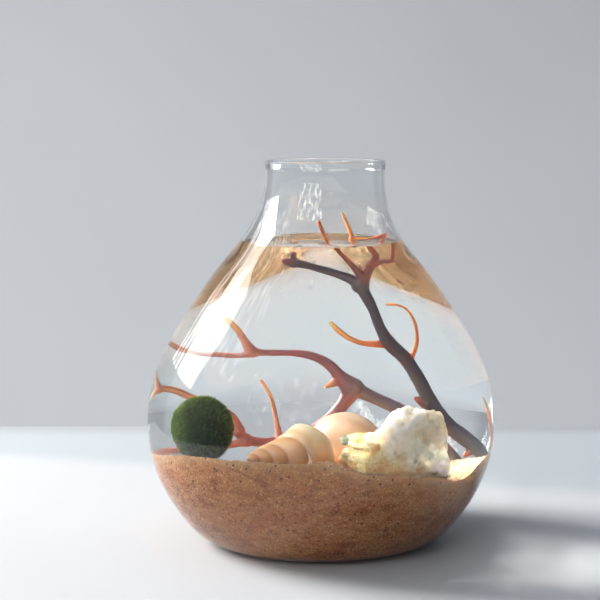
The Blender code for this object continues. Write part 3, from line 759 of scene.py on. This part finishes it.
# the shell: an outline turned about its own axis; the whorls follow a turn count that grows with
# the logarithm of the distance from the tip, slanted so that the sutures bulge to the mouth in
# front; each whorl swells quickly after its suture and eases off towards the next one
def makeSpiral():
    outline = evenCurve(spiral["outline"], spiral["steps"])
    outline[:, 1] = np.maximum(outline[:, 1], 0)
    outline[[0, -1], 1] = 0
    turn = anglesRound(spiral["columns"])
    along, radius = outline[:, :1], outline[:, 1:2]
    place = along + radius * (spiral["slant"] * np.cos(turn) + spiral["tilt"] * np.sin(turn))
    place = np.maximum(place, -2.0)
    count = np.log1p(place / spiral["whorlLength"]) / math.log(spiral["whorlGrowth"])
    phase = (count + spiral["whorlStart"] - turn / math.tau) % 1.0
    spire = 1 - smoothStep(place, spiral["lastWhorl"], spiral["lastWhorl"] + spiral["lastFade"])
    early = np.clip(1 - phase / spiral["grooveWidth"], 0, 1)
    late = np.clip((phase - spiral["swellFrom"]) / (1 - spiral["swellFrom"]), 0, 1)
    shape = 1 - spire * spiral["groove"] * (early ** 1.5 + spiral["swell"] * late ** 2)
    ribs = spiral["ribSize"] * np.sin(turn * spiral["ribs"] + 5 * np.sin(along * 0.5))
    front = (smoothStep(-np.cos(turn - spiral["frontTurn"]), 0.35, 0.85)
             * smoothStep(place, spiral["frontFrom"], spiral["frontTo"]) * spire)
    lip = spiral["lipRise"] * np.exp(-phase / spiral["lipFade"]) * (phase < 0.5)
    gap = spiral["lipGap"] * np.exp(-(1 - phase) / spiral["gapFade"]) * (phase > 0.5)
    radius = radius * (shape + ribs) + front * np.minimum(radius, 1.0) * (lip - gap)
    drop = (spiral["drop"] * smoothStep(along, spiral["dropFrom"], spiral["dropTo"])
            + spiral["endDrop"] * smoothStep(along, spiral["endFrom"], outline[-1, 0] + 1.0))
    points = np.stack([along + 0 * turn, radius * np.cos(turn), radius * np.sin(turn) - drop],
                      axis=-1)
    lift = axisTurn(2, 0, -spiral["riseDegrees"])
    spin = axisTurn(0, 1, spiral["turnDegrees"])
    points = points @ (spin @ lift).T + spiral["tip"]
    # painted light: a pale wedge in front, between the last whorl's edge and the whorl before it,
    # that widens downwards
    down = np.clip((spiral["paintedSlitTop"] - points[..., 2]) / spiral["paintedSlitHeight"], 0, 1)
    slit = (front > 0.05) * smoothStep(spiral["paintedSlitWidth"] * down - phase, -0.01, 0.015)
    piece = meshObject("spiralShell", points, values={
        "whorl": phase, "spire": spire, "slit": slit * (down > 0)})
    material, add, surface, place = newMaterial("polishedCreamShell", {
        "Roughness": 0.3, "IOR": 1.55, "Subsurface Weight": 0.35,
        "Subsurface Radius": (1.2, 0.7, 0.4), "Subsurface Scale": 2.0 * mm})
    # worn aragonite shell: smooth cream, tan towards each suture, with soft clouds; warmer low down
    # on the last whorl, a painted glow of light coming through where it is thin
    band = add("ValToRGB", {"stops": [(0.0, "#c4946c"), (0.1, "#dcc2a6"), (0.3, "#dcc09c"),
                                      (0.58, "#d2ab80"), (0.86, "#bf9062"), (1.0, "#ae7c50")]},
               {0: "whorl"})
    # painted glow: the last whorl turns orange towards its bottom, as if lit through
    up = add("SeparateXYZ", {}, {0: place}).outputs["Z"]
    paintedGlowRange = {"From Min": spiral["paintedGlowFrom"] * mm, "From Max": spiral["paintedGlowTo"] * mm}
    low = add("MapRange", paintedGlowRange, {"Value": up})
    body = add("ValToRGB", {"stops": [(0.0, "#eaac66"), (0.35, "#f6c586"), (0.75, "#f6d9ac"),
                                      (1.0, "#f6e4c8")]}, {0: low})
    share = add("Math", {"operation": "MULTIPLY", 1: 0.8}, {0: "spire"})
    color = add("Mix", {"data_type": "RGBA"}, {0: share, 6: body, 7: band}).outputs[2]
    cloud = add("TexNoise", {"Scale": 1 / (3.5 * mm), "Detail": 3.0}, {"Vector": place})
    color = layTones(add, color, (cloud, [(0.3, "#f6e2cc"), (0.7, "#ffffff")], 0.7))
    # painted light: the slit's wedge is made near white
    color = coverTone(add, color, "#fffaf0", "slit")
    linkInputs(surface, {"Base Color": color})
    finishPiece(piece, material, "cream_shell", "spiral_shell")


makeSpiral()


dome = {
    "centre": (7.8, -15.0, 43.6), "radii": (11.0, 9.4, 8.3), "turnDegrees": 8.0,
    "spire": (0.62, 0.70, 0.35), "spireGrowth": 0.42, "groove": 0.045, "sutureWidth": 0.05,
    "lift": 0.25, "spireRise": 0.03, "fadeFrom": 0.9, "fadeTo": 1.7, "rows": 150, "columns": 220,
}


# the shell: an ellipsoid with a spiral suture round its spire; the suture runs where the
# logarithm of the angle from the spire and the turn about it differ by whole numbers
def makeDome():
    axis = unit(np.array(dome["spire"]))
    side = unit(np.cross(axis, (0, 0, 1.0)))
    other = np.cross(axis, side)
    grid = sphereGrid(dome["rows"], dome["columns"])
    directions = grid[..., :1] * side + grid[..., 1:2] * other + grid[..., 2:] * axis
    fromSpire = np.arccos(np.clip(grid[..., 2], -1, 1))
    turn = np.arctan2(grid[..., 1], grid[..., 0])
    spread = np.log(np.tan(np.clip(fromSpire, 0.02, 3.1) / 2)) / dome["spireGrowth"]
    phase = (spread * 0.5 - turn / math.tau) % 1.0
    fading = 1 - smoothStep(fromSpire, dome["fadeFrom"], dome["fadeTo"])
    suture = np.exp(-np.minimum(phase, 1 - phase) / dome["sutureWidth"]) * fading
    lifted = np.maximum(-directions[..., 0], 0) * np.maximum(-directions[..., 2], 0)
    size = 1 - dome["groove"] * suture - dome["lift"] * lifted + dome["spireRise"] * fading
    points = directions * np.array(dome["radii"]) * size[..., None]
    points = points @ axisTurn(2, 0, dome["turnDegrees"]).T + dome["centre"]
    piece = meshObject("roundShell", points, values={
        "suture": suture, "fromSpire": fromSpire / math.pi})
    material, add, surface, place = newMaterial("polishedPeachShell", {
        "Roughness": 0.28, "IOR": 1.55, "Subsurface Weight": 0.35,
        "Subsurface Radius": (1.3, 0.7, 0.45), "Subsurface Scale": 2.0 * mm})
    # glossy snail shell: even peach with soft wide bands along its growth
    color = add("ValToRGB", {"stops": [(0.0, "#c49c7c"), (0.2, "#dab898"), (0.38, "#e6ccb0"),
                                       (0.5, "#debc9c"), (0.62, "#ead2ba"), (0.8, "#e2c2a4"),
                                       (1.0, "#ecd8c2")]}, {0: "fromSpire"}).outputs[0]
    cloud = add("TexNoise", {"Scale": 1 / (4.5 * mm), "Detail": 3.0}, {"Vector": place})
    color = layTones(add, color, (cloud, [(0.3, "#f3ddce"), (0.7, "#ffffff")], 0.8),
                     ("suture", [(0.3, "#ffffff"), (1.0, "#b8855f")], 0.9))
    linkInputs(surface, {"Base Color": color})
    finishPiece(piece, material, "peach_shell", "round_shell")


makeDome()


# knobs are lumps and hollows on the front, as x, z, reach and height; ochres, greens and whites are
# where those tones lie, as x, z, reach and amount, the ochres partly painted shadow under the boss
# and painted warm bounce low down, the whites partly painted highlights on the crests; lumps are as
# the ball's
rough = {
    "centre": (26.0, -40.0, 45.0), "depth": 12.0,
    "outline": [(-28, 22.0), (-10, 19.0), (10, 18.2), (26, 19.6), (38, 19.8), (47, 18.0),
        (58, 15.4), (70, 14.0), (90, 11.6), (108, 10.4), (126, 9.0), (148, 9.8), (158, 12.6),
        (163, 15.4), (166, 18.2), (169, 19.6), (172, 19.4), (175, 17.6), (180, 17.4), (185, 18.9),
        (192, 19.6), (213, 16.8), (240, 11.6), (280, 10.2), (312, 14.0)],
    "knobs": [(0.3, 6.6, 1.6, 1.3), (3.0, 7.8, 1.6, 1.5), (4.9, 9.2, 1.6, 1.5),
        (7.1, 11.2, 1.7, 1.4), (9.6, 13.0, 1.8, 1.2), (-1.8, 9.6, 2.4, 0.8), (1.6, 11.6, 2.0, -0.7),
        (-1.8, 0.8, 1.2, 1.3), (-0.9, 3.6, 1.4, 1.2), (1.7, 5.0, 1.4, 1.1), (4.4, 6.2, 1.4, 1.0),
        (3.2, 2.4, 2.3, 1.6), (5.8, 0.4, 1.6, 0.7), (-0.2, 0.2, 0.9, -1.6), (1.2, -1.3, 1.1, -2.0),
        (3.3, -2.3, 1.1, -1.4), (-6.8, 1.9, 1.3, -2.0), (-8.9, 4.2, 1.3, 1.1),
        (-12.2, 4.6, 2.4, 1.1), (-4.6, 4.8, 1.6, -0.9), (10.6, 7.6, 2.6, -1.5),
        (11.0, 3.8, 2.4, -1.0), (8.6, 4.2, 1.2, 0.9), (13.7, 10.2, 2.2, 1.1), (14.4, 5.0, 1.6, 0.9),
        (17.0, 1.2, 2.0, -0.8), (17.4, -5.6, 2.8, 1.9), (11.6, -3.2, 2.4, -1.3),
        (7.2, -2.8, 1.3, 1.1), (-14.5, -0.6, 2.4, 0.9), (-9.6, -2.6, 2.0, 0.9),
        (-4.6, -3.4, 1.8, -1.1), (-1.4, -6.0, 2.0, 0.9), (6.6, -6.4, 2.2, 0.9)],
    "ochres": [(-12.0, 4.2, 1.8, 0.9), (-6.8, 1.8, 1.3, 1.0), (-7.8, 0.2, 1.4, 0.8),
        (1.1, -1.6, 1.7, 0.25), (3.4, -2.4, 1.5, 0.2), (-0.4, 0.3, 0.9, 0.4), (1.5, -6.2, 3.6, 0.5),
        (-5.7, -5.8, 3.0, 0.7), (9.4, -6.9, 3.4, 0.5), (11.2, 4.1, 1.5, 0.6),
        (-12.8, -4.6, 2.0, 0.6)],
    "greens": [(7.2, -2.7, 1.3, 0.7), (15.0, -8.4, 1.6, 0.7), (-18.4, 3.4, 1.9, 1.6),
        (-17.6, -1.4, 1.2, 0.7)],
    "whites": [(0.3, 6.6, 1.6, 1.0), (3.0, 7.8, 1.7, 1.0), (4.9, 9.2, 1.7, 1.0),
        (7.1, 11.2, 1.9, 1.0), (9.6, 13.0, 2.0, 0.9), (-1.6, 9.8, 2.0, 0.8), (1.7, 5.0, 1.4, 0.8),
        (-0.9, 3.6, 1.2, 0.8), (-1.8, 0.8, 1.2, 1.0), (-8.9, 4.2, 1.3, 1.0), (10.8, 8.2, 1.8, 0.8),
        (16.0, -5.8, 2.4, 1.0), (18.6, -6.4, 2.4, 1.0), (-16.8, 0.4, 1.4, 1.0)],
    "lumps": [(0.7, 6.5, 41), (0.8, 3.0, 42), (0.6, 1.6, 43)], "foldHeight": 0.8, "foldSize": 4.2,
    "crumbHeight": 0.28, "crumbLow": 0.2, "crumbSize": 0.9, "rows": 240, "columns": 400,
}


# the lump: each direction reaches to the outline seen from the front, and back and forth by the
# depth; knobs, folds and pits are added along the direction from its middle
def makeRough():
    directions = sphereGrid(rough["rows"], rough["columns"])
    angle = np.degrees(np.arctan2(directions[..., 2], directions[..., 0]))
    outline = np.array(sorted((a % 360, r) for a, r in rough["outline"]))
    reach = np.interp(angle % 360, outline[:, 0], outline[:, 1], period=360)
    points = directions * np.stack([reach, np.full_like(reach, rough["depth"]), reach], axis=-1)
    low = smoothStep(directions[..., 0] + 0.8 * directions[..., 2], 0.1, -0.5)
    crumbs = rough["crumbHeight"] + rough["crumbLow"] * low
    height = noiseSum(points, rough["lumps"]) + crumbs * softNoise(points, rough["crumbSize"], 44)
    folds = 1 - np.abs(softNoise(points * (1, 1, 0.7), rough["foldSize"], 45))
    height += rough["foldHeight"] * (folds ** 4 - 0.3)
    front = smoothStep(-directions[..., 1], -0.1, 0.5)
    tones = {}
    for key in ("knobs", "ochres", "greens", "whites"):
        tones[key] = np.zeros_like(height)
        for x, z, wide, amount in rough[key]:
            away = (points[..., 0] - x) ** 2 + (points[..., 2] - z) ** 2
            tones[key] += amount * np.exp(-away / wide ** 2)
    height += front * tones["knobs"]
    points = points + directions * height[..., None] + rough["centre"]
    piece = meshObject("roughShell", points, values={
        "raised": height, "ochre": tones["ochres"], "green": tones["greens"],
        "white": tones["whites"], "low": low})
    material, add, surface, place = newMaterial("limeCrustedShell", {
        "Roughness": 0.6, "IOR": 1.5, "Subsurface Weight": 0.5,
        "Subsurface Radius": (1.0, 0.8, 0.5), "Subsurface Scale": 3.0 * mm})
    # old shell under coralline lime: chalky white above, granular yellow low at the left, ochre
    # stains and a few green films; its 0.3 mm crumbs are drawn at 0.7 mm. Painted light: brown
    # shadow under the boss, warm bounce low down, darker hollows and highlights on the crests
    patch = add("TexNoise", {"Scale": 1 / (3 * mm), "Detail": 4.0, "Roughness": 0.65},
                {"Vector": place})
    crumb = add("TexNoise", {"Scale": 1 / (0.7 * mm), "Detail": 3.0, "Roughness": 0.7},
                {"Vector": place})
    chalk = add("ValToRGB", {"stops": [(0.3, "#e0d6ba"), (0.5, "#f4eeda"), (0.7, "#fffdf4")]},
                {0: patch})
    yellow = add("ValToRGB", {"stops": [(0.34, "#e6c47c"), (0.5, "#fbe8ac"), (0.66, "#fffae0")]},
                 {0: crumb})
    color = add("Mix", {"data_type": "RGBA"}, {0: "low", 6: chalk, 7: yellow}).outputs[2]
    # ochre: stains, painted shadow under the boss and painted warm bounce low down; white: lime on
    # the crests and painted highlights
    for key, tone in (("ochre", "#e4b468"), ("white", "#fffdf4"), ("green", "#51645a")):
        ragged = add("Math", {"operation": "MULTIPLY_ADD", 1: 0.9, 2: -0.45}, {0: patch})
        spot = add("Math", {"operation": "ADD"}, {0: key, 1: ragged})
        share = add("MapRange", {"interpolation_type": "SMOOTHSTEP", "From Min": 0.15,
                                 "From Max": 0.95, "To Max": 0.85}, {"Value": spot})
        color = coverTone(add, color, tone, share)
    # painted shade: darker and browner the deeper a hollow lies
    paintedHollowShade = add("MapRange", {"From Min": -2.4, "From Max": 0.0}, {"Value": "raised"})
    color = layTones(add, color,
                     (paintedHollowShade, [(0.0, "#c49a62"), (0.6, "#ead8b0"), (1.0, "#ffffff")], 0.5))
    bump = add("Bump", {"Strength": 0.8, "Distance": 0.5 * mm}, {"Height": crumb})
    linkInputs(surface, {"Base Color": color, "Normal": bump})
    finishPiece(piece, material, "crusted_shell", "rough_shell")


makeRough()


# The sea fans: paths of (x, y, z, radius), with the horn's age at the start and the end of each,
# where 0 is old and black and 1 a young amber tip. The first path of each branch is the branch,
# the others are its twigs.
frontFan = {
    "stem": [
        (0.0, 0.12, [(56, 0, 27, 2.2), (51.7, 0, 35.6, 2.3), (45.2, 0, 40.5, 2.4),
          (37.3, 0, 46.5, 2.3), (32.5, 0, 53.5, 2.2), (29.4, 0, 59.5, 2.2), (25.5, 0, 66.0, 2.3),
          (20.8, 0, 71.5, 2.2), (18.0, 0, 77.5, 1.8), (15.8, 0, 85.0, 1.7), (12.6, 0, 93.0, 2.1),
          (11.6, 0, 95.6, 2.2)]),
        (0.2, 0.6, [(32.0, 0, 52.0, 1.6), (30.2, -0.4, 52.6, 1.1), (28.6, -0.8, 53.6, 0.6)]),
        (0.2, 0.7, [(47.0, 0, 39.0, 1.6), (44.6, -0.6, 37.6, 1.0), (43.4, -0.8, 36.8, 0.6)])],
    "leftTwig": [
        (0.55, 1.0, [(20.8, 0, 71.3, 1.3), (16.5, -0.6, 71.4, 1.2), (12.5, -1.4, 72.0, 1.0),
          (8.8, -2.2, 74.0, 1.0), (5.6, -2.8, 77.0, 1.0), (3.0, -3.2, 80.6, 0.8)])],
    "rightTwig": [
        (0.6, 0.8, [(26.4, 0, 64.8, 1.1), (28.0, 0.5, 67.5, 0.9), (29.2, 1.0, 71.2, 0.7),
          (29.2, 1.4, 76.0, 0.6), (28.0, 1.8, 81.0, 0.55), (25.6, 2.0, 85.0, 0.5),
          (22.8, 2.0, 86.4, 0.5), (19.8, 2.0, 86.6, 0.5)])],
    "leftArm": [
        (0.15, 0.2, [(12.2, 0, 94.6, 1.7), (8.8, 0.4, 97.0, 1.6), (4.0, 0.6, 99.2, 1.5),
          (-0.5, 0.4, 101.0, 1.5), (-5.0, 0, 102.8, 1.6), (-9.2, -0.4, 104.0, 1.9)]),
        (0.28, 0.42, [(-8.6, -0.4, 103.8, 1.5), (-10.2, -1.2, 104.4, 1.3),
          (-11.0, -1.6, 104.8, 1.1)]),
        (0.2, 0.4, [(-8.2, -0.4, 103.6, 1.4), (-8.6, 0.4, 105.8, 1.1), (-8.2, 0.8, 107.6, 0.9)])],
    "crown": [
        (0.35, 0.9, [(12.0, 0, 94.4, 1.9), (13.4, 0.2, 98.6, 1.8), (15.4, 0.6, 102.4, 1.4),
          (16.6, 1.0, 106.4, 1.2), (14.8, 1.4, 110.6, 1.0), (13.0, 1.8, 115.4, 0.9),
          (12.2, 1.9, 119.0, 0.9), (11.2, 1.9, 122.4, 0.8), (8.4, 1.9, 128.8, 0.6)]),
        (0.35, 0.5, [(15.4, 0.6, 102.6, 1.2), (18.8, 0.6, 104.2, 1.0), (21.8, 0.4, 104.8, 0.9),
          (22.6, 0.2, 108.6, 0.7), (22.8, 0, 113.0, 0.7), (23.6, 0, 117.6, 0.7),
          (25.4, 0, 121.0, 0.6)]),
        (0.8, 0.5, [(12.0, 1.9, 118.6, 0.8), (16.0, 1.4, 118.9, 0.5), (20.6, 0.6, 119.2, 0.5),
          (24.4, 0.2, 120.4, 0.8)])],
    "topTwig": [
        (0.35, 0.6, [(13.0, 0, 97.6, 1.5), (10.6, -1.6, 101.4, 1.1), (8.2, -3.0, 105.4, 0.9),
          (4.6, -3.4, 111.6, 0.8), (2.6, -3.2, 117.2, 0.75), (0.8, -3.2, 121.8, 0.75),
          (-0.8, -3.2, 125.7, 0.75)])],
}
rearFan = {
    "stem": [
        (0.0, 0.2, [(42, 19, 25, 1.9), (34, 19, 35.5, 1.9), (28.5, 19.5, 41.5, 1.8),
          (22.5, 20, 45.7, 1.8), (16.5, 20, 48.6, 1.7), (11.5, 20, 50.8, 1.9),
          (7.0, 20, 53.0, 2.1)])],
    "upperArm": [
        (0.3, 0.5, [(8.0, 20, 52.4, 1.9), (5.4, 20.2, 55.0, 1.7), (2.8, 20.6, 58.2, 1.6),
          (-1.2, 21, 61.0, 1.4), (-6.0, 21, 62.4, 1.2), (-11.5, 20.6, 62.7, 1.1),
          (-16.6, 20.2, 62.8, 1.2), (-20.4, 20, 63.4, 1.5)]),
        (0.5, 0.9, [(5.4, 20.2, 54.6, 1.3), (3.4, 19.4, 53.4, 1.0), (1.4, 18.8, 52.6, 0.6)])],
    "tipTwig": [
        (0.55, 1.0, [(-19.6, 20, 63.2, 1.4), (-21.5, 20, 67.2, 1.2), (-23.4, 19.8, 71.6, 1.1),
          (-26.2, 19.4, 75.6, 1.1)])],
    "sideArm": [
        (0.5, 0.7, [(-19.0, 20, 62.6, 1.1), (-23.0, 20.2, 61.6, 0.9), (-28.4, 20.6, 61.6, 0.8),
          (-34.6, 21, 61.8, 0.8), (-39.0, 21, 63.0, 0.9), (-43.0, 21, 65.2, 0.9)])],
    "lowerArm": [
        (0.3, 0.5, [(9.4, 20, 51.8, 1.8), (6.8, 20, 48.4, 1.8), (4.2, 20, 45.2, 1.9),
          (-0.6, 20, 41.4, 1.7), (-6.0, 20, 38.8, 1.5), (-11.6, 20, 37.7, 1.4),
          (-17.0, 20, 37.3, 1.3), (-21.4, 20, 38.6, 1.3), (-23.4, 20, 42.0, 1.1)])],
    "thinTwig": [
        (0.6, 0.9, [(-11.4, 20, 37.8, 1.0), (-12.5, 20.4, 43.2, 0.7), (-13.9, 20.8, 49.0, 0.6),
          (-16.8, 21, 53.8, 0.5)])],
    "leftArm": [
        (0.5, 0.8, [(-22.8, 20, 40.4, 1.2), (-24.4, 20, 43.8, 1.1), (-29.0, 20.2, 46.6, 1.1),
          (-35.6, 20.4, 49.2, 1.0), (-40.9, 20.2, 51.4, 0.9), (-44.8, 20, 51.6, 0.8),
          (-47.6, 19.6, 49.0, 0.6)]),
        (0.7, 0.95, [(-44.4, 20, 51.6, 0.8), (-45.6, 20, 54.0, 0.7), (-46.4, 20, 56.2, 0.6)])],
    "lowTwig": [
        (0.5, 0.6, [(-20.6, 20, 37.8, 1.2), (-26.0, 20, 36.4, 0.9), (-32.0, 20, 35.9, 0.9),
          (-39.0, 20, 35.6, 0.9), (-45.0, 20, 35.2, 0.8)])],
}
edgeTwig = {
    "twig": [
        (0.4, 0.9, [(46.2, 20, 26, 0.8), (46.4, 20, 34.0, 0.75), (46.1, 20, 38.0, 0.65),
          (45.7, 20, 43.5, 0.55), (45.2, 20, 46.5, 0.45), (44.3, 20, 49.6, 0.3)])],
}
fan = {"steps": 8, "sides": 20, "voxel": 0.24, "smoothing": 7, "flare": 0.55, "knots": 0.08}


# the distance along a line at each of its points: its steps' lengths summed
def runAlong(line):
    steps = np.linalg.norm(np.diff(line[:, :3], axis=0), axis=1)
    return np.concatenate([[0], np.cumsum(steps)])


# one branch: a ring carried along its path, its radius from the path, wider by a flare that dies
# away from the root, with knots from a noise, and round at both ends
def branchSkin(path, flare, seed):
    path = smoothCurve(path, fan["steps"])
    radius = path[:, 3].copy()
    radius *= 1 + flare * np.exp(-runAlong(path) / (1.6 * radius[0]))
    radius *= 1 + fan["knots"] * softNoise(path[:, :3], 2.6, seed)
    ends = np.radians((90, 60, 30))
    first, last = path[0, :3], path[-1, :3]
    out, on = unit(first - path[1, :3]), unit(last - path[-2, :3])
    start = first + out * (np.sin(ends) * radius[0])[:, None]
    finish = last + on * (np.sin(ends[::-1]) * radius[-1])[:, None]
    line = np.vstack([start, path[:, :3], finish])
    radius = np.concatenate([np.cos(ends) * radius[0], radius, np.cos(ends[::-1]) * radius[-1]])
    ahead = unit(np.gradient(line, axis=0))
    side = unit(np.cross(ahead, (0, 1.0, 0)))
    other = np.cross(side, ahead)
    turn = anglesRound(fan["sides"])
    ring = (np.cos(turn)[:, None] * side[:, None] + np.sin(turn)[:, None] * other[:, None])
    return line[:, None] + ring * radius[:, None, None]


# a whole fan: the skins of its branches fused into one and smoothed, so the forks are webbed;
# each point takes its age from the nearest parts of the paths
def makeFan(name, branches, material, slot, nodes):
    points, faces, samples = [], [], []
    count = 0
    for number, paths in enumerate(branches.values()):
        for order, (start, end, path) in enumerate(paths):
            grown = number > 0 or order > 0
            skin = branchSkin(path, fan["flare"] if grown else 0.0, 50 + number * 5 + order)
            faces.append(gridFaces(*skin.shape[:2]) + count)
            points.append(skin.reshape(-1, 3))
            count += len(points[-1])
            line = smoothCurve(path, fan["steps"])
            run = runAlong(line)
            age = start + (end - start) * (run / run[-1]) ** 1.5
            samples.append(np.column_stack([line, age]))
    skins = meshObject(name + "Skins", np.vstack(points), np.vstack(faces))
    fuse = skins.modifiers.new("fuse", "REMESH")
    fuse.mode = "VOXEL"
    fuse.voxel_size = fan["voxel"] * mm
    ease = skins.modifiers.new("ease", "SMOOTH")
    ease.factor = 0.5
    ease.iterations = fan["smoothing"]
    graph = bpy.context.evaluated_depsgraph_get()
    mesh = bpy.data.meshes.new_from_object(skins.evaluated_get(graph))
    bpy.data.objects.remove(skins)
    spots = np.zeros(len(mesh.vertices) * 3, np.float32)
    mesh.vertices.foreach_get("co", spots)
    spots = spots.reshape(-1, 3) / mm
    samples = np.vstack(samples).astype(np.float32)
    squares = (spots ** 2).sum(1)[:, None] + (samples[:, :3] ** 2).sum(1)
    gaps = squares - 2 * spots @ samples[:, :3].T
    gaps = np.sqrt(np.maximum(gaps, 0)) - samples[:, 3]
    weights = np.exp(-(gaps - gaps.min(axis=1)[:, None]) / 0.5)
    weights /= weights.sum(axis=1)[:, None]
    mesh.attributes.new("age", "FLOAT", "POINT").data.foreach_set("value", weights @ samples[:, 4])
    mesh.name = name
    mesh.shade_smooth()
    piece = bpy.data.objects.new(name, mesh)
    scene.collection.objects.link(piece)
    finishPiece(piece, material, slot, *nodes)


# the horn, coloured by its age
def makeHorn(name, stops):
    material, add, surface, place = newMaterial(name, {
        "Roughness": 0.38, "IOR": 1.54, "Subsurface Weight": 0.3,
        "Subsurface Radius": (1.6, 0.5, 0.2), "Subsurface Scale": 1.2 * mm})
    # sea fan horn, a protein like claw: black and smooth when old, red-brown and then clear
    # amber where it is young and thin
    drift = add("TexNoise", {"Scale": 1 / (4 * mm), "Detail": 3.0, "Roughness": 0.6},
                {"Vector": place})
    shift = add("Math", {"operation": "MULTIPLY_ADD", 1: 0.28, 2: -0.14}, {0: drift})
    mixed = add("Math", {"operation": "ADD"}, {0: "age", 1: shift})
    color = add("ValToRGB", {"stops": stops}, {0: mixed})
    grain = add("TexNoise", {"Scale": 1 / (0.9 * mm), "Detail": 3.0, "Roughness": 0.6},
                {"Vector": place})
    bump = add("Bump", {"Strength": 0.5, "Distance": 0.12 * mm}, {"Height": grain})
    linkInputs(surface, {"Base Color": color, "Normal": bump})
    return material


darkHorn = makeHorn("oldBlackHorn", [
    (0.0, "#4c4a53"), (0.18, "#4e4046"), (0.35, "#783e36"), (0.55, "#bf6238"),
    (0.8, "#e09a52"), (1.0, "#f6d890")])
redHorn = makeHorn("youngRedHorn", [
    (0.0, "#7b7479"), (0.2, "#84686b"), (0.4, "#a0605e"), (0.6, "#c07c64"),
    (0.85, "#e0ae7c"), (1.0, "#f6dca4")])
frontNodes = sorted(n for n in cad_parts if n.startswith("front_fan"))
rearNodes = sorted(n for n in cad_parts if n.startswith("rear_fan"))
makeFan("frontSeaFan", frontFan, darkHorn, "dark_sea_fan", frontNodes)
makeFan("rearSeaFan", rearFan, redHorn, "red_sea_fan", rearNodes)
makeFan("edgeTwig", edgeTwig, redHorn, "red_sea_fan", ["edge_twig"])
